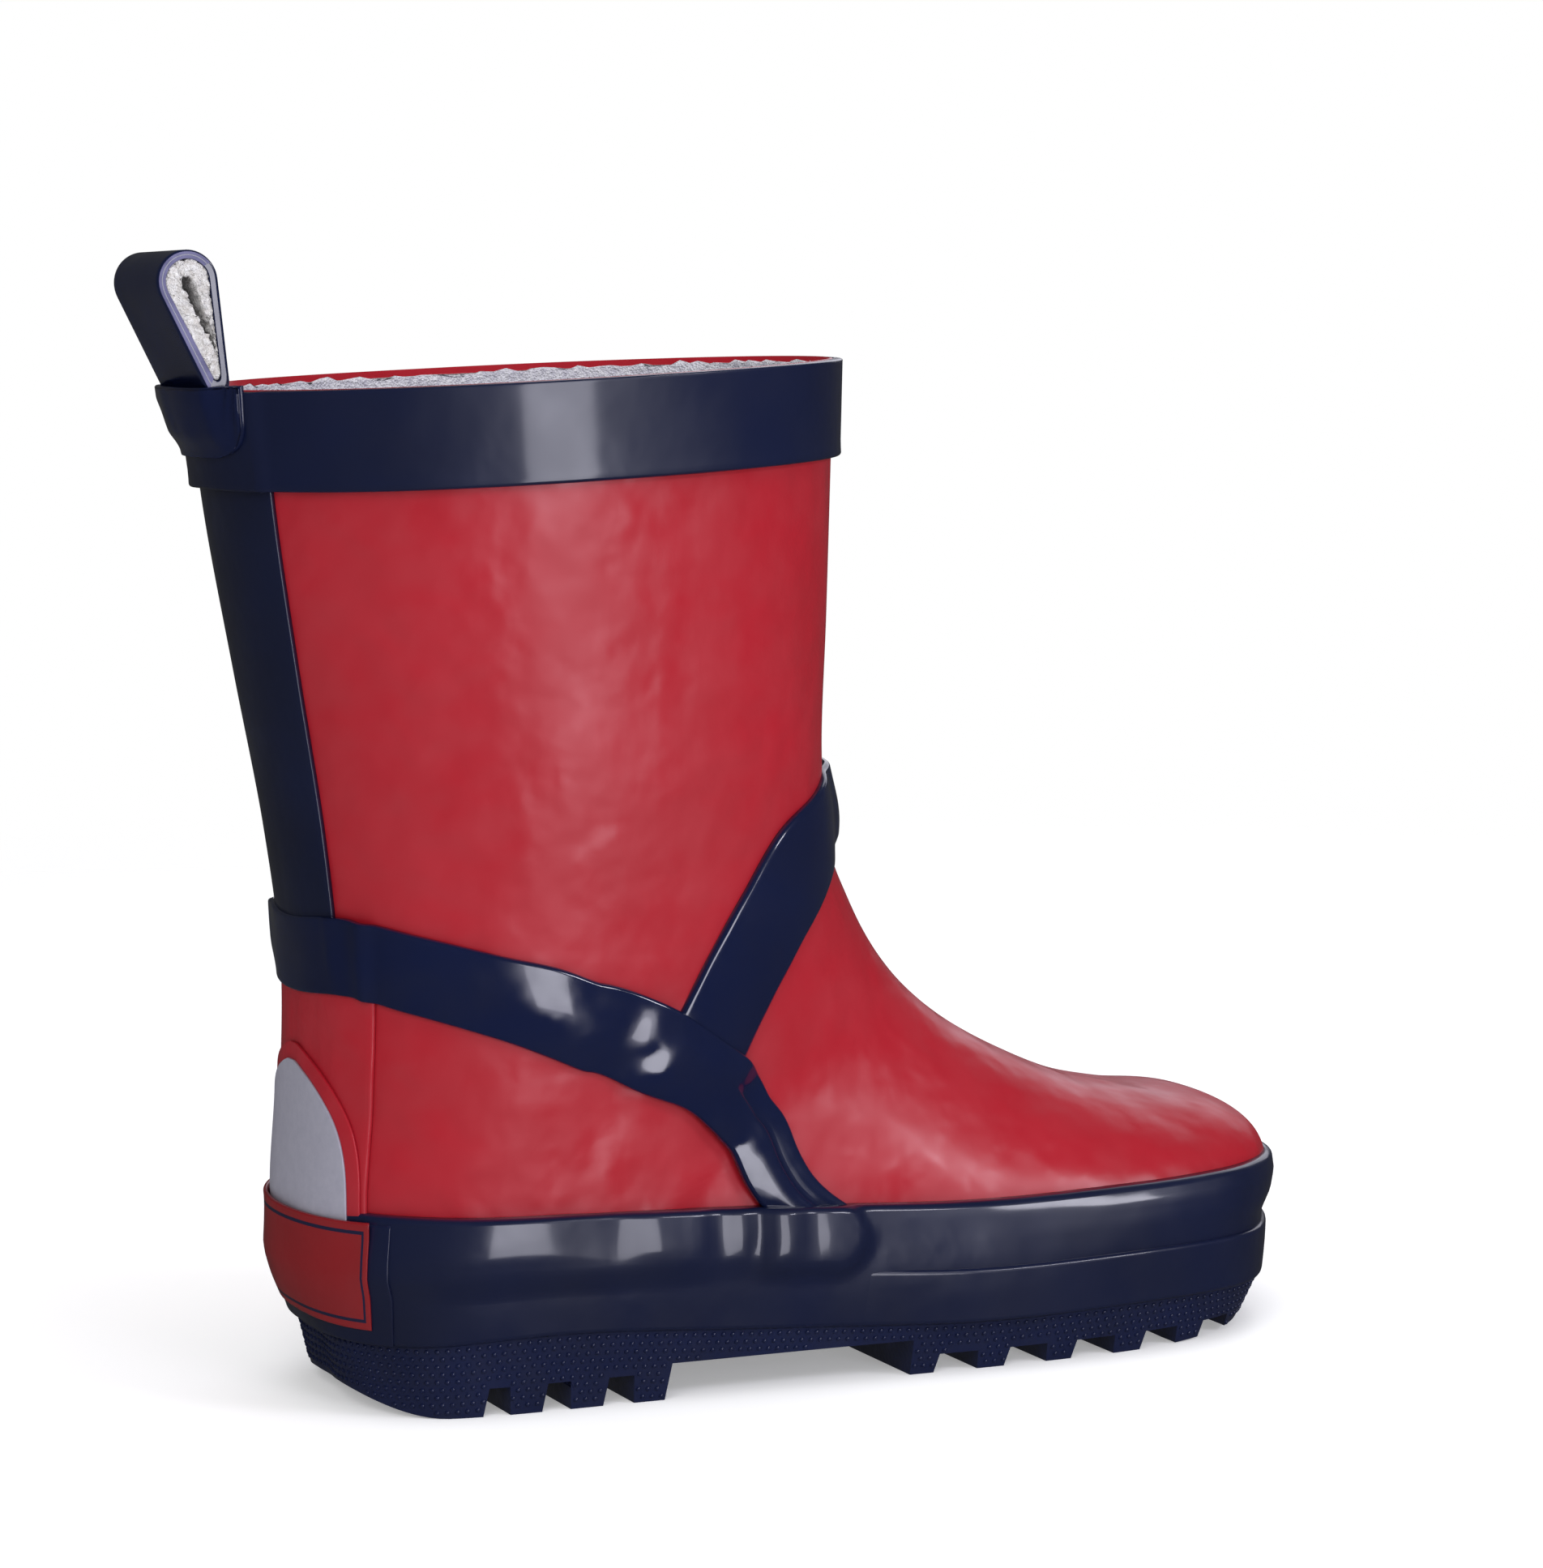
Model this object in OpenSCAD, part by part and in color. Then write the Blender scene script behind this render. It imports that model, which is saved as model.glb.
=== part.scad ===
// Child's rubber rain boot, right foot.
// Millimetres. +X points to the toe, +Y to the inner side of the foot, +Z up.
// The origin is on the floor under the middle of the heel tread.

/* [Shell] */
// Thickness of the red rubber upper
upper_t = 1.4; // [1.0:0.1:1.6]
// Thickness of the textile lining
lining_t = 1.2; // [0.8:0.1:1.4]
// Thickness of the stiffeners between upper and lining
stiffener_t = 0.6; // [0.3:0.1:0.6]
// Space between two layers that lie on each other
layer_gap = 0.15; // [0.1:0.05:0.2]
// Space on each side of a stiffener
stiffener_gap = 0.2; // [0.15:0.05:0.3]

/* [Bands and straps] */
// Thickness of the back stays
stay_t = 0.9; // [0.6:0.1:1.0]
// Thickness of the band round the top
band_t = 1.3; // [0.9:0.1:1.6]
// Thickness of the ankle and instep straps
strap_t = 1.2; // [0.8:0.1:1.4]
// Thickness of the foxing band above the sole
foxing_t = 2.0; // [1.5:0.1:2.4]
// Space between the foxing band and the upper
foxing_gap = 0.45; // [0.35:0.05:0.6]
// Thickness of the toe bumper and the heel strip on the foxing
bumper_t = 0.7; // [0.4:0.1:1.0]
// Thickness of the heel label
label_t = 0.8; // [0.4:0.1:1.0]

/* [Sole] */
// Depth of the tread grooves under the heel
heel_groove = 4.6; // [2.0:0.1:5.0]
// Depth of the tread grooves under the ball of the foot
ball_groove = 3.2; // [1.5:0.1:3.6]
// Height of the arch above the floor
arch_height = 6.0; // [4.0:0.1:6.5]
// How far the sole edge stands out from the upper
sole_flare = 1.5; // [0.8:0.1:2.0]
// How far the tread is drawn in at the floor
tread_inset = 2.0; // [1.0:0.1:3.0]
// Thickness of the sponge between outsole and upper
sponge_t = 1.3; // [0.6:0.1:1.4]

/* [Insole] */
// Thickness of the loose foam insole
foam_t = 3.0; // [2.0:0.1:4.0]
// Thickness of the textile on the insole
cover_t = 0.8; // [0.5:0.1:1.0]
// Room between the insole and the lining
insole_gap = 0.7; // [0.6:0.1:1.0]

/* [Pull loop] */
// Width of the pull loop across the heel
loop_w = 22; // [16:1:24]
// Height of the pull loop above its root
loop_h = 19.8; // [15:0.1:24]
// Thickness of the rubber of the loop
loop_t = 1.3; // [0.9:0.1:1.5]
// Thickness of the textile inside the loop
loop_lining_t = 2.4; // [1.5:0.1:2.6]

/* [Hidden] */

// Cross-sections of the last, from the rim to the toe. Each one is a flat oval that leans forward more and
// more: [front x, front z, back x, back z, half width, lift of the widest place, front power, back power,
// side]
LAST = [
  [58.7, 158, -41.3, 152.3, 35.2, 0, 2.2, 2.2, 0],
  [58.2, 140, -38.5, 133, 34.7, 0, 2.2, 2.2, 0],
  [57.6, 118, -34.3, 110, 33.5, 0, 2.2, 2.2, 0],
  [56.9, 98, -30, 87, 32.5, 0, 2.2, 2.2, 0],
  [58.5, 83, -27.2, 66, 31, -0.1, 2.2, 2.3, 0],
  [62.5, 73.5, -27.3, 46, 29.5, -0.2, 2.2, 2.4, 0],
  [67.5, 65, -28, 28, 28.5, -0.3, 2.2, 2.5, 0],
  [73.5, 58, -24, 15, 28, -0.4, 2.2, 2.8, 0],
  [81, 52, 5, 14, 28, -0.5, 2.2, 3, 0],
  [91, 46.5, 42, 12.5, 29, -0.5, 2.2, 3, 1],
  [103, 41.5, 74, 10.3, 31, -0.4, 2.2, 3, 2],
  [116, 38.5, 101, 10.3, 31, -0.3, 2.2, 3, 3],
  [128.3, 36.8, 121, 12, 27, -0.2, 2.2, 3, 4],
  [137, 32.2, 133, 16, 17, 0, 2.2, 2.5, 4],
  [139.8, 25, 139.5, 20, 3, 0, 2, 2, 4]
];
TOE = len(LAST) - 1;

// Every layer has its points on the same lines, so that neighbours stay apart: 10 degrees round, half a
// section along, and closer together after the section where the toe turns down
COLUMNS = 36;
CLOSE_FROM = 13;

// Heights of the foxing's top edge and of the sole's top edge at even steps of x, from the heel to the toe
EDGE_X = [-30, 140];
FOXING_TOP = [31.5, 30.8, 29.2, 27.2, 27.4, 28];
SOLE_EDGE = [11, 12.3, 10.3, 8.2, 8.5, 8.2];

// Strap and stay edges as [section number, angle round the section] pairs. 0 is the front, 180 the back.
ANKLE_UPPER = [
  [3.58, 180], [3.57, 204], [3.75, 227], [4, 247], [4.3, 264], [4.85, 279],
  [5.45, 289], [6.05, 296], [6.7, 299], [7.4, 297], [8.35, 284.5]
];
ANKLE_LOWER = [
  [4.15, 180], [4.15, 204], [4.32, 224], [4.55, 241], [4.85, 256], [5.25, 269],
  [5.75, 278], [6.3, 286], [6.9, 289.5], [7.4, 287.5], [7.9, 281.5]
];
INSTEP_REAR = [
  [3.14, 372], [3.15, 360], [3.19, 342], [3.34, 325], [3.55, 307], [4.05, 296], [4.6, 288.5], [5.2, 283]
];
INSTEP_FRONT = [
  [3.75, 372], [3.85, 360], [4.05, 342], [4.35, 330], [4.75, 317], [5.25, 306], [5.65, 300], [6, 295.5]
];

// Layers, as distances from the outside of the upper
LINING_OUT = -upper_t - stiffener_t - 2 * stiffener_gap;
LINING_IN = LINING_OUT - lining_t;
INSOLE_OUT = LINING_IN - insole_gap;
INSOLE_IN = INSOLE_OUT - foam_t;
STAY_OUT = layer_gap + stay_t;
BAND_OUT = layer_gap + band_t;
// Thickness of the reflector's base and of the reflector on it
REFLECTOR_T = 0.4;

// The pull loop bends about a line across the boot through this point
LOOP_ROOT = [-44.4, 154.6];
LOOP_ROOT_R = 2.3;
LOOP_TOP_R = 4.6;
LOOP_LEAN = -3;
SLIT_RISE = 5;

// ---- The surface of the last ----

// A smooth curve through a list of points, at place s from 0 to the last one
function spline(list, s) =
  let (
    last = len(list) - 1,
    i = min(floor(max(s, 0)), last - 1),
    f = min(max(s - i, 0), 1),
    a = list[max(i - 1, 0)],
    b = list[i],
    c = list[i + 1],
    d = list[min(i + 2, last)]
  )
  0.5 * (2 * b + (c - a) * f + (2 * a - 5 * b + 4 * c - d) * f * f + (3 * b - a - 3 * c + d) * f * f * f);

// A power that keeps the sign
function spow(v, p) = sign(v) * pow(abs(v), p);

// The point of section u at angle t, on the outside of the upper
function skin(u, t) =
  let (
    s = spline(LAST, u),
    front = [s[0], s[1]],
    back = [s[2], s[3]],
    half = norm(front - back) / 2,
    along = (front - back) / (2 * half),
    widest = s[5] * half,
    c = cos(t),
    power = c > 0 ? s[6] : s[7],
    reach = c > 0 ? half - widest : half + widest,
    p = widest + reach * spow(c, 2 / power),
    middle = (front + back) / 2 + p * along
  )
  [middle[0], s[8] + s[4] * spow(sin(t), 2 / power), middle[1]];

// The same point moved outwards by d, square to the surface
function skin_at(u, t, d) =
  let (
    du = skin(min(u + 0.02, TOE), t) - skin(max(u - 0.02, 0), t),
    dt = skin(u, t + 1) - skin(u, t - 1),
    n = cross(du, dt)
  )
  skin(u, t) + d * n / norm(n);

// ---- The foot in plan, for what follows the sole ----

PLAN_CENTRE = [55, 1.5];
PLAN_HALF = [84, 30];
WIDEST_Z = 19;

// How far a point in the middle plane lies in front of section u
function ahead(u, x, z) =
  let (s = spline(LAST, u))
  cross([s[0] - s[2], s[1] - s[3]], [x - s[2], z - s[3]]);

// The section that passes through a point of the middle plane
function section_through(x, z, low, high, turns) =
  turns == 0 ? (low + high) / 2
  : let (mid = (low + high) / 2)
    ahead(mid, x, z) < 0 ? section_through(x, z, mid, high, turns - 1)
    : section_through(x, z, low, mid, turns - 1);

// Below 0 inside the last, above 0 outside it
function outside(p, z) =
  let (
    s = spline(LAST, section_through(p[0], z, 3, TOE, 11)),
    front = [s[0], s[1]],
    back = [s[2], s[3]],
    half = norm(front - back) / 2,
    along = (front - back) / (2 * half),
    q = ([p[0], z] - (front + back) / 2) * along - s[5] * half,
    power = q > 0 ? s[6] : s[7],
    reach = q > 0 ? half - s[5] * half : half + s[5] * half
  )
  p[0] > LAST[TOE][0] ? 1 : pow(abs(q) / reach, power) + pow(abs(p[1] - s[8]) / s[4], power) - 1;

function plan_way(a) = [PLAN_HALF[0] * cos(a), PLAN_HALF[1] * sin(a)];
function plan_out(a) = let (n = [PLAN_HALF[1] * cos(a), PLAN_HALF[0] * sin(a)]) n / norm(n);

// How many times plan_way(a) it is from the centre to the upper at height z
function plan_reach(a, z, low, high, turns) =
  turns == 0 ? (low + high) / 2
  : let (mid = (low + high) / 2)
    outside(PLAN_CENTRE + mid * plan_way(a), z) < 0 ? plan_reach(a, z, mid, high, turns - 1)
    : plan_reach(a, z, low, mid, turns - 1);

// The upper's outline at height z, with the swelling of the sides kept all the way down
function plan(a, z) = PLAN_CENTRE + plan_reach(a, max(z, WIDEST_Z), 0.5, 1.4, 11) * plan_way(a);

function edge_height(list, x) =
  spline(list, (len(list) - 1) * (x - EDGE_X[0]) / (EDGE_X[1] - EDGE_X[0]));

// Height of the bottom of the tread: the heel is bevelled behind and the toe springs up a little
HEEL_BEVEL_X = -12;
TOE_SPRING_X = 104;
function tread_height(x) =
  x < HEEL_BEVEL_X ? 0.025 * pow(x - HEEL_BEVEL_X, 2)
  : x > TOE_SPRING_X ? 0.0022 * pow(x - TOE_SPRING_X, 2)
  : 0;

// ---- Solids from grids of points ----

function cell(a, b, c, d, flip) = flip ? [[a, b, c], [a, c, d]] : [[a, c, b], [a, d, c]];

function sheet_faces(rows, cols, start, wrap, flip) = [
  for (i = [0 : rows - 2], j = [0 : cols - (wrap ? 1 : 2)])
    let (a = start + i * cols + j, b = start + i * cols + (j + 1) % cols)
    each cell(a, b, b + cols, a + cols, flip)
];

function flat(grid) = [for (row = grid) each row];

// True when the faces of a grid have to be turned over for the outer grid to face outwards
function turned(outer, inner) =
  let (
    i = floor(len(outer) / 2),
    j = floor(len(outer[0]) / 2),
    here = outer[i][j]
  )
  cross(outer[i][j - 1] - here, outer[i - 1][j] - here) * (here - inner[i][j]) < 0;

// A closed solid between two grids of points. A wrapped grid goes round and meets itself.
module slab(outer, inner, wrap = false) {
  rows = len(outer);
  cols = len(outer[0]);
  n = rows * cols;
  flip = turned(outer, inner);
  last = rows - 1;
  ends = [
    for (j = [0 : cols - (wrap ? 1 : 2)])
      let (k = (j + 1) % cols)
      each concat(
        cell(k, j, n + j, n + k, flip),
        cell(last * cols + j, last * cols + k, n + last * cols + k, n + last * cols + j, flip)
      )
  ];
  sides = wrap ? [] : [
    for (i = [0 : rows - 2])
      let (a = i * cols, b = a + cols, c = a + cols - 1, d = b + cols - 1)
      each concat(cell(a, b, n + b, n + a, flip), cell(d, c, n + c, n + d, flip))
  ];
  polyhedron(
    points = concat(flat(outer), flat(inner)),
    faces = concat(
      sheet_faces(rows, cols, 0, wrap, flip), sheet_faces(rows, cols, n, wrap, !flip), ends, sides
    )
  );
}

// A sock: a wrapped grid outside, another inside, open at the first row and closed at the last
module sock(outer, inner, outer_tip, inner_tip) {
  rows = len(outer);
  cols = len(outer[0]);
  n = rows * cols;
  flip = turned(outer, inner);
  last = (rows - 1) * cols;
  round_end = [
    for (j = [0 : cols - 1])
      let (k = (j + 1) % cols)
      each concat(
        cell(k, j, n + j, n + k, flip),
        flip ? [[last + k, 2 * n, last + j]] : [[last + j, 2 * n, last + k]],
        flip ? [[n + last + j, 2 * n + 1, n + last + k]] : [[n + last + k, 2 * n + 1, n + last + j]]
      )
  ];
  polyhedron(
    points = concat(flat(outer), flat(inner), [outer_tip, inner_tip]),
    faces = concat(
      sheet_faces(rows, cols, 0, true, flip), sheet_faces(rows, cols, n, true, !flip), round_end
    )
  );
}

// The sections that carry a row of points: every half section, then a few closer ones to the layer's end
function row_places(top, end) = concat(
  [top], [for (k = [1 : 2 * CLOSE_FROM]) k / 2], [for (k = [1 : 2]) CLOSE_FROM + (end - CLOSE_FROM) * k / 2]
);

// One layer of the sock between distances d_out and d_in, from section top to just short of the toe
module sock_layer(d_out, d_in, top, end_out, end_in) {
  function ring(u, d) = [for (j = [0 : COLUMNS - 1]) skin_at(u, 360 * j / COLUMNS, d)];
  outer = [for (u = row_places(top, end_out)) ring(u, d_out)];
  inner = [for (u = row_places(top, end_in)) ring(u, d_in)];
  sock(outer, inner, middle_of(outer[len(outer) - 1]), middle_of(inner[len(inner) - 1]));
}

function middle_of(ring) = [for (p = ring) 1] * ring / len(ring);

// A piece that lies on the last between two edge lines. low and high give its two distances from the upper,
// as functions of the way along and the way across, both from 0 to 1.
module patch(edge_a, edge_b, low, high, rows, cols) {
  places = [for (i = [0 : rows]) [for (j = [0 : cols])
    let (
      s = (len(edge_a) - 1) * i / rows,
      a = spline(edge_a, s),
      b = spline(edge_b, s)
    )
    a + (b - a) * j / cols]];
  outer = [for (i = [0 : rows]) [for (j = [0 : cols])
    skin_at(places[i][j][0], places[i][j][1], high(places[i][j][0], places[i][j][1]))]];
  inner = [for (i = [0 : rows]) [for (j = [0 : cols])
    skin_at(places[i][j][0], places[i][j][1], low(places[i][j][0], places[i][j][1]))]];
  slab(outer, inner);
}

// A piece that lies round the sole from angle a0 to a1, between two heights given as functions of x
module rim_piece(a0, a1, d_in, d_out, bottom, top, cols, rows, wrap = false) {
  steps = wrap ? cols - 1 : cols;
  function spot(i, j, d) =
    let (
      a = a0 + (a1 - a0) * j / cols,
      x = plan(a, WIDEST_Z)[0],
      z = bottom(x) + (top(x) - bottom(x)) * i / rows,
      p = plan(a, z) + d * plan_out(a)
    )
    [p[0], p[1], z];
  outer = [for (i = [0 : rows]) [for (j = [0 : steps]) spot(i, j, d_out)]];
  inner = [for (i = [0 : rows]) [for (j = [0 : steps]) spot(i, j, d_in)]];
  slab(outer, inner, wrap);
}

// Mirrored copy of an edge line on the other side of the boot
function other_side(edge) = [for (p = edge) [p[0], 360 - p[1]]];
// One line that runs round the back from one side to the other
function round_back(edge) =
  concat([for (i = [len(edge) - 1 : -1 : 1]) [edge[i][0], 360 - edge[i][1]]], edge);

// 0 before a, 1 after b, smooth between
function ease(v, a, b) = let (f = min(max((v - a) / (b - a), 0), 1)) f * f * (3 - 2 * f);

// How far a strap round the back is lifted by the stay under it
STAY_ANGLE = 24;
STAY_ANGLE_BELOW = 20.8;
LOWER_STAY_ANGLE = 33;
function over_stay(t, angle) = (stay_t + layer_gap) * (1 - ease(abs(t - 180), angle + 0.5, angle + 6));

// ---- The pieces ----

module upper() {
  color("crimson") sock_layer(0, -upper_t, 0, TOE, TOE - 0.45);
}

module lining() {
  color("whitesmoke") sock_layer(LINING_OUT, LINING_IN, 0.04, TOE - 0.7, TOE - 0.85);
}

// A stiffener in the space between upper and lining, from section u0 to u1 and angle t0 to t1
module stiffener(u0, u1, t0, t1) {
  d = -upper_t - stiffener_gap;
  patch(
    [[u0, t0], [u1, t0]], [[u0, t1], [u1, t1]],
    function(u, t) d - stiffener_t, function(u, t) d,
    2 * (u1 - u0), (t1 - t0) * COLUMNS / 360
  );
}

module heel_counter() {
  color("dimgray") stiffener(5, 6.5, 120, 240);
}

module toe_puff() {
  color("dimgray") stiffener(11, 13, -80, 80);
}

module ankle_reinforcement_outer() {
  color("firebrick") stiffener(5, 7, 270, 290);
}

module ankle_reinforcement_inner() {
  color("firebrick") stiffener(5, 7, 70, 90);
}

module insole_board() {
  color("tan") stiffener(7.5, 12.5, 130, 230);
}

// One layer of the loose insole
module insole_layer(d_in, d_out) {
  patch(
    [[7.35, 140], [8, 134], [9, 133], [10, 133], [11, 132], [12, 135], [12.6, 146]],
    [[7.35, 220], [8, 226], [9, 227], [10, 227], [11, 228], [12, 225], [12.6, 214]],
    function(u, t) d_in, function(u, t) d_out,
    18, 8
  );
}

module insole_foam() {
  color("lightgray") insole_layer(INSOLE_IN, INSOLE_OUT);
}

module insole_cover() {
  color("white") insole_layer(INSOLE_IN - 0.05 - cover_t, INSOLE_IN - 0.05);
}

// A plate that fills the plan outline, drawn in by inset, between two heights given as functions of x
module plate(inset_low, inset_high, low, high, cols) {
  rings = [for (k = [0, 1]) [for (j = [0 : cols - 1])
    let (
      a = 360 * j / cols,
      p = plan(a, WIDEST_Z) - (k == 0 ? inset_low : inset_high) * plan_out(a)
    )
    [p[0], p[1], k == 0 ? low(p[0]) : high(p[0])]]];
  // Both faces are strips across the foot, because their heights change along it
  half = cols / 2;
  function across(ring, j) = ring * cols + (j + cols) % cols;
  lids = [for (j = [0 : half - 1]) let (k = cols - j, m = cols - j - 1)
    each concat(
      j == 0 ? [] : [[across(0, j), across(0, k), across(0, j + 1)]],
      j == half - 1 ? [] : [[across(0, j + 1), across(0, k), across(0, m)]],
      j == 0 ? [] : [[across(1, j), across(1, j + 1), across(1, k)]],
      j == half - 1 ? [] : [[across(1, j + 1), across(1, m), across(1, k)]]
    )];
  wall = [for (j = [0 : cols - 1]) let (k = (j + 1) % cols)
    each [[j, k, cols + k], [j, cols + k, cols + j]]];
  polyhedron(points = flat(rings), faces = [for (f = concat(lids, wall)) [f[0], f[2], f[1]]]);
}

module midsole_sponge() {
  color("lightslategray") plate(
    5, 5,
    function(x) edge_height(SOLE_EDGE, x) + layer_gap,
    function(x) edge_height(SOLE_EDGE, x) + layer_gap + sponge_t,
    56
  );
}

// A groove across the tread, wider at the floor
module groove(x0, x1, depth) {
  taper = 0.6;
  translate([0, 60, 0])
    rotate([90, 0, 0])
      linear_extrude(120)
        polygon([[x0 - taper, -1], [x1 + taper, -1], [x1, depth], [x0, depth]]);
}

HEEL_GROOVES = [[-6.6, -3.4], [2.6, 6.2], [12.4, 16.4]];
BALL_GROOVES = [[67.6, 74.2], [79.8, 86.4], [91.8, 98.8], [104.8, 111.2], [117, 123.2]];

module outsole() {
  // resize by nothing makes the whole tread one mesh
  color("midnightblue") resize([0, 0, 0]) difference() {
    plate(tread_inset, -sole_flare, function(x) tread_height(x), function(x) edge_height(SOLE_EDGE, x), 72);
    for (g = HEEL_GROOVES) groove(g[0], g[1], heel_groove);
    for (g = BALL_GROOVES) groove(g[0], g[1], ball_groove);
    groove(22.4, 62.6, arch_height);
  }
}

module foxing_band() {
  color("midnightblue") rim_piece(
    0, 360, foxing_gap, foxing_gap + foxing_t,
    function(x) edge_height(SOLE_EDGE, x) + layer_gap,
    function(x) edge_height(FOXING_TOP, x),
    90, 4, true
  );
}

// A strip on the outside of the foxing
module on_foxing(a0, a1, layer, thickness, bottom, top, cols) {
  d = foxing_gap + foxing_t + layer_gap + layer;
  rim_piece(
    a0, a1, d, d + thickness,
    function(x) edge_height(SOLE_EDGE, x) + bottom,
    function(x) edge_height(SOLE_EDGE, x) + top,
    cols, 4
  );
}

module toe_bumper() {
  color("midnightblue") on_foxing(-88, 88, 0, bumper_t, 0.4, 9, 44);
}

module heel_strip() {
  color("midnightblue") on_foxing(140, 220, 0, bumper_t, 0.4, 18.6, 20);
}

module heel_label() {
  color("firebrick") on_foxing(144, 216, bumper_t + layer_gap, label_t, 2.4, 19, 18);
}

module back_stay() {
  color("midnightblue") patch(
    [[0.86, 180 - STAY_ANGLE], [3.5, 180 - STAY_ANGLE_BELOW]],
    [[0.86, 180 + STAY_ANGLE], [3.5, 180 + STAY_ANGLE_BELOW]],
    function(u, t) layer_gap, function(u, t) STAY_OUT,
    12, 6
  );
}

module lower_back_stay() {
  color("crimson") patch(
    [[3.9, 180 - LOWER_STAY_ANGLE], [5.76, 180 - LOWER_STAY_ANGLE - 2]],
    [[3.9, 180 + LOWER_STAY_ANGLE], [5.76, 180 + LOWER_STAY_ANGLE + 2]],
    function(u, t) layer_gap, function(u, t) STAY_OUT,
    10, 8
  );
}

module reflector_base() {
  color("firebrick") patch(
    [[4.5, 172], [4.75, 162], [5.15, 152], [5.74, 147]],
    [[4.5, 188], [4.75, 198], [5.15, 208], [5.74, 213]],
    function(u, t) STAY_OUT + layer_gap,
    function(u, t) STAY_OUT + layer_gap + REFLECTOR_T,
    10, 8
  );
}

module reflector_patch() {
  color("silver") patch(
    [[4.64, 174], [4.88, 165], [5.22, 156], [5.72, 151]],
    [[4.64, 186], [4.88, 195], [5.22, 204], [5.72, 209]],
    function(u, t) STAY_OUT + 2 * layer_gap + REFLECTOR_T,
    function(u, t) STAY_OUT + 2 * (layer_gap + REFLECTOR_T),
    10, 8
  );
}

module top_band() {
  rows = 4;
  cols = 40;
  function spot(i, j, d) = skin_at(0.01 + 0.79 * i / rows, 360 * j / cols, d);
  color("midnightblue") slab(
    [for (i = [0 : rows]) [for (j = [0 : cols - 1]) spot(i, j, BAND_OUT)]],
    [for (i = [0 : rows]) [for (j = [0 : cols - 1]) spot(i, j, layer_gap)]],
    true
  );
}

// The ankle strap rides over the stays at the back and over the instep straps at the sides
function under_ankle(u, t) =
  let (
    side = abs(t - 180),
    stays = over_stay(t, LOWER_STAY_ANGLE),
    straps = (strap_t + layer_gap) * ease(side, 88, 96) * (1 - ease(u, 7.2, 7.8))
  )
  layer_gap + max(stays, straps);

module ankle_strap() {
  color("navy") patch(
    round_back(ANKLE_UPPER), round_back(ANKLE_LOWER),
    function(u, t) under_ankle(u, t), function(u, t) under_ankle(u, t) + strap_t,
    60, 4
  );
}

// One instep strap lies over the other at the front
function instep_lift(t, side) = layer_gap + side * (strap_t + layer_gap) * ease(t, 339, 347);

module instep_strap_outer() {
  color("navy") patch(
    INSTEP_REAR, INSTEP_FRONT,
    function(u, t) instep_lift(t, 1), function(u, t) instep_lift(t, 1) + strap_t,
    28, 4
  );
}

module instep_strap_inner() {
  color("navy") patch(
    other_side(INSTEP_REAR), other_side(INSTEP_FRONT),
    function(u, t) layer_gap, function(u, t) layer_gap + strap_t,
    28, 4
  );
}

// Outline of the pull loop seen from the side, drawn in by t, with its lower end raised
module loop_outline(t, rise) {
  hull() {
    translate([0, rise]) circle(r = max(LOOP_ROOT_R - t, 0.3), $fn = 32);
    translate([LOOP_LEAN, loop_h - LOOP_TOP_R]) circle(r = LOOP_TOP_R - t, $fn = 40);
  }
}

// One layer of the loop between two outlines, each given as [drawn in, raised]
module loop_ring(outer, inner, width) {
  translate([LOOP_ROOT[0], width / 2, LOOP_ROOT[1]])
    rotate([90, 0, 0])
      linear_extrude(width)
        difference() {
          loop_outline(outer[0], outer[1]);
          loop_outline(inner[0], inner[1]);
        }
}

module pull_loop() {
  color("navy") loop_ring([0, 0], [loop_t, 0.8], loop_w);
}

module pull_loop_lining() {
  color("white") loop_ring([loop_t + 0.05, 0.9], [loop_t + loop_lining_t, SLIT_RISE], loop_w - 0.6);
}

// How proud the loop's tails stand under their cover, falling away towards the lower end
function tail_height(u) = 2.2 - 1.2 * ease(u, 0.05, 0.38);

module pull_loop_tails() {
  color("navy") patch(
    [[0.02, 163], [0.38, 163]], [[0.02, 197], [0.38, 197]],
    function(u, t) BAND_OUT + layer_gap, function(u, t) BAND_OUT + layer_gap + tail_height(u),
    6, 8
  );
}

module pull_loop_patch() {
  function proud(u, t) =
    BAND_OUT + layer_gap
    + (tail_height(u) + layer_gap) * (1 - ease(abs(t - 180), 17.3, 20)) * (1 - ease(u, 0.39, 0.46));
  color("navy") patch(
    [[0.02, 157], [0.3, 157], [0.5, 164]], [[0.02, 203], [0.3, 203], [0.5, 196]],
    function(u, t) proud(u, t), function(u, t) proud(u, t) + 1,
    12, 22
  );
}

upper();
lining();
heel_counter();
toe_puff();
ankle_reinforcement_outer();
ankle_reinforcement_inner();
insole_board();
insole_foam();
insole_cover();
midsole_sponge();
outsole();
foxing_band();
toe_bumper();
heel_strip();
heel_label();
reflector_base();
reflector_patch();
back_stay();
lower_back_stay();
top_band();
ankle_strap();
instep_strap_inner();
instep_strap_outer();
pull_loop();
pull_loop_lining();
pull_loop_tails();
pull_loop_patch();
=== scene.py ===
import functools
import math

import bmesh
import bpy
from mathutils import Matrix, Vector, noise


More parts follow.
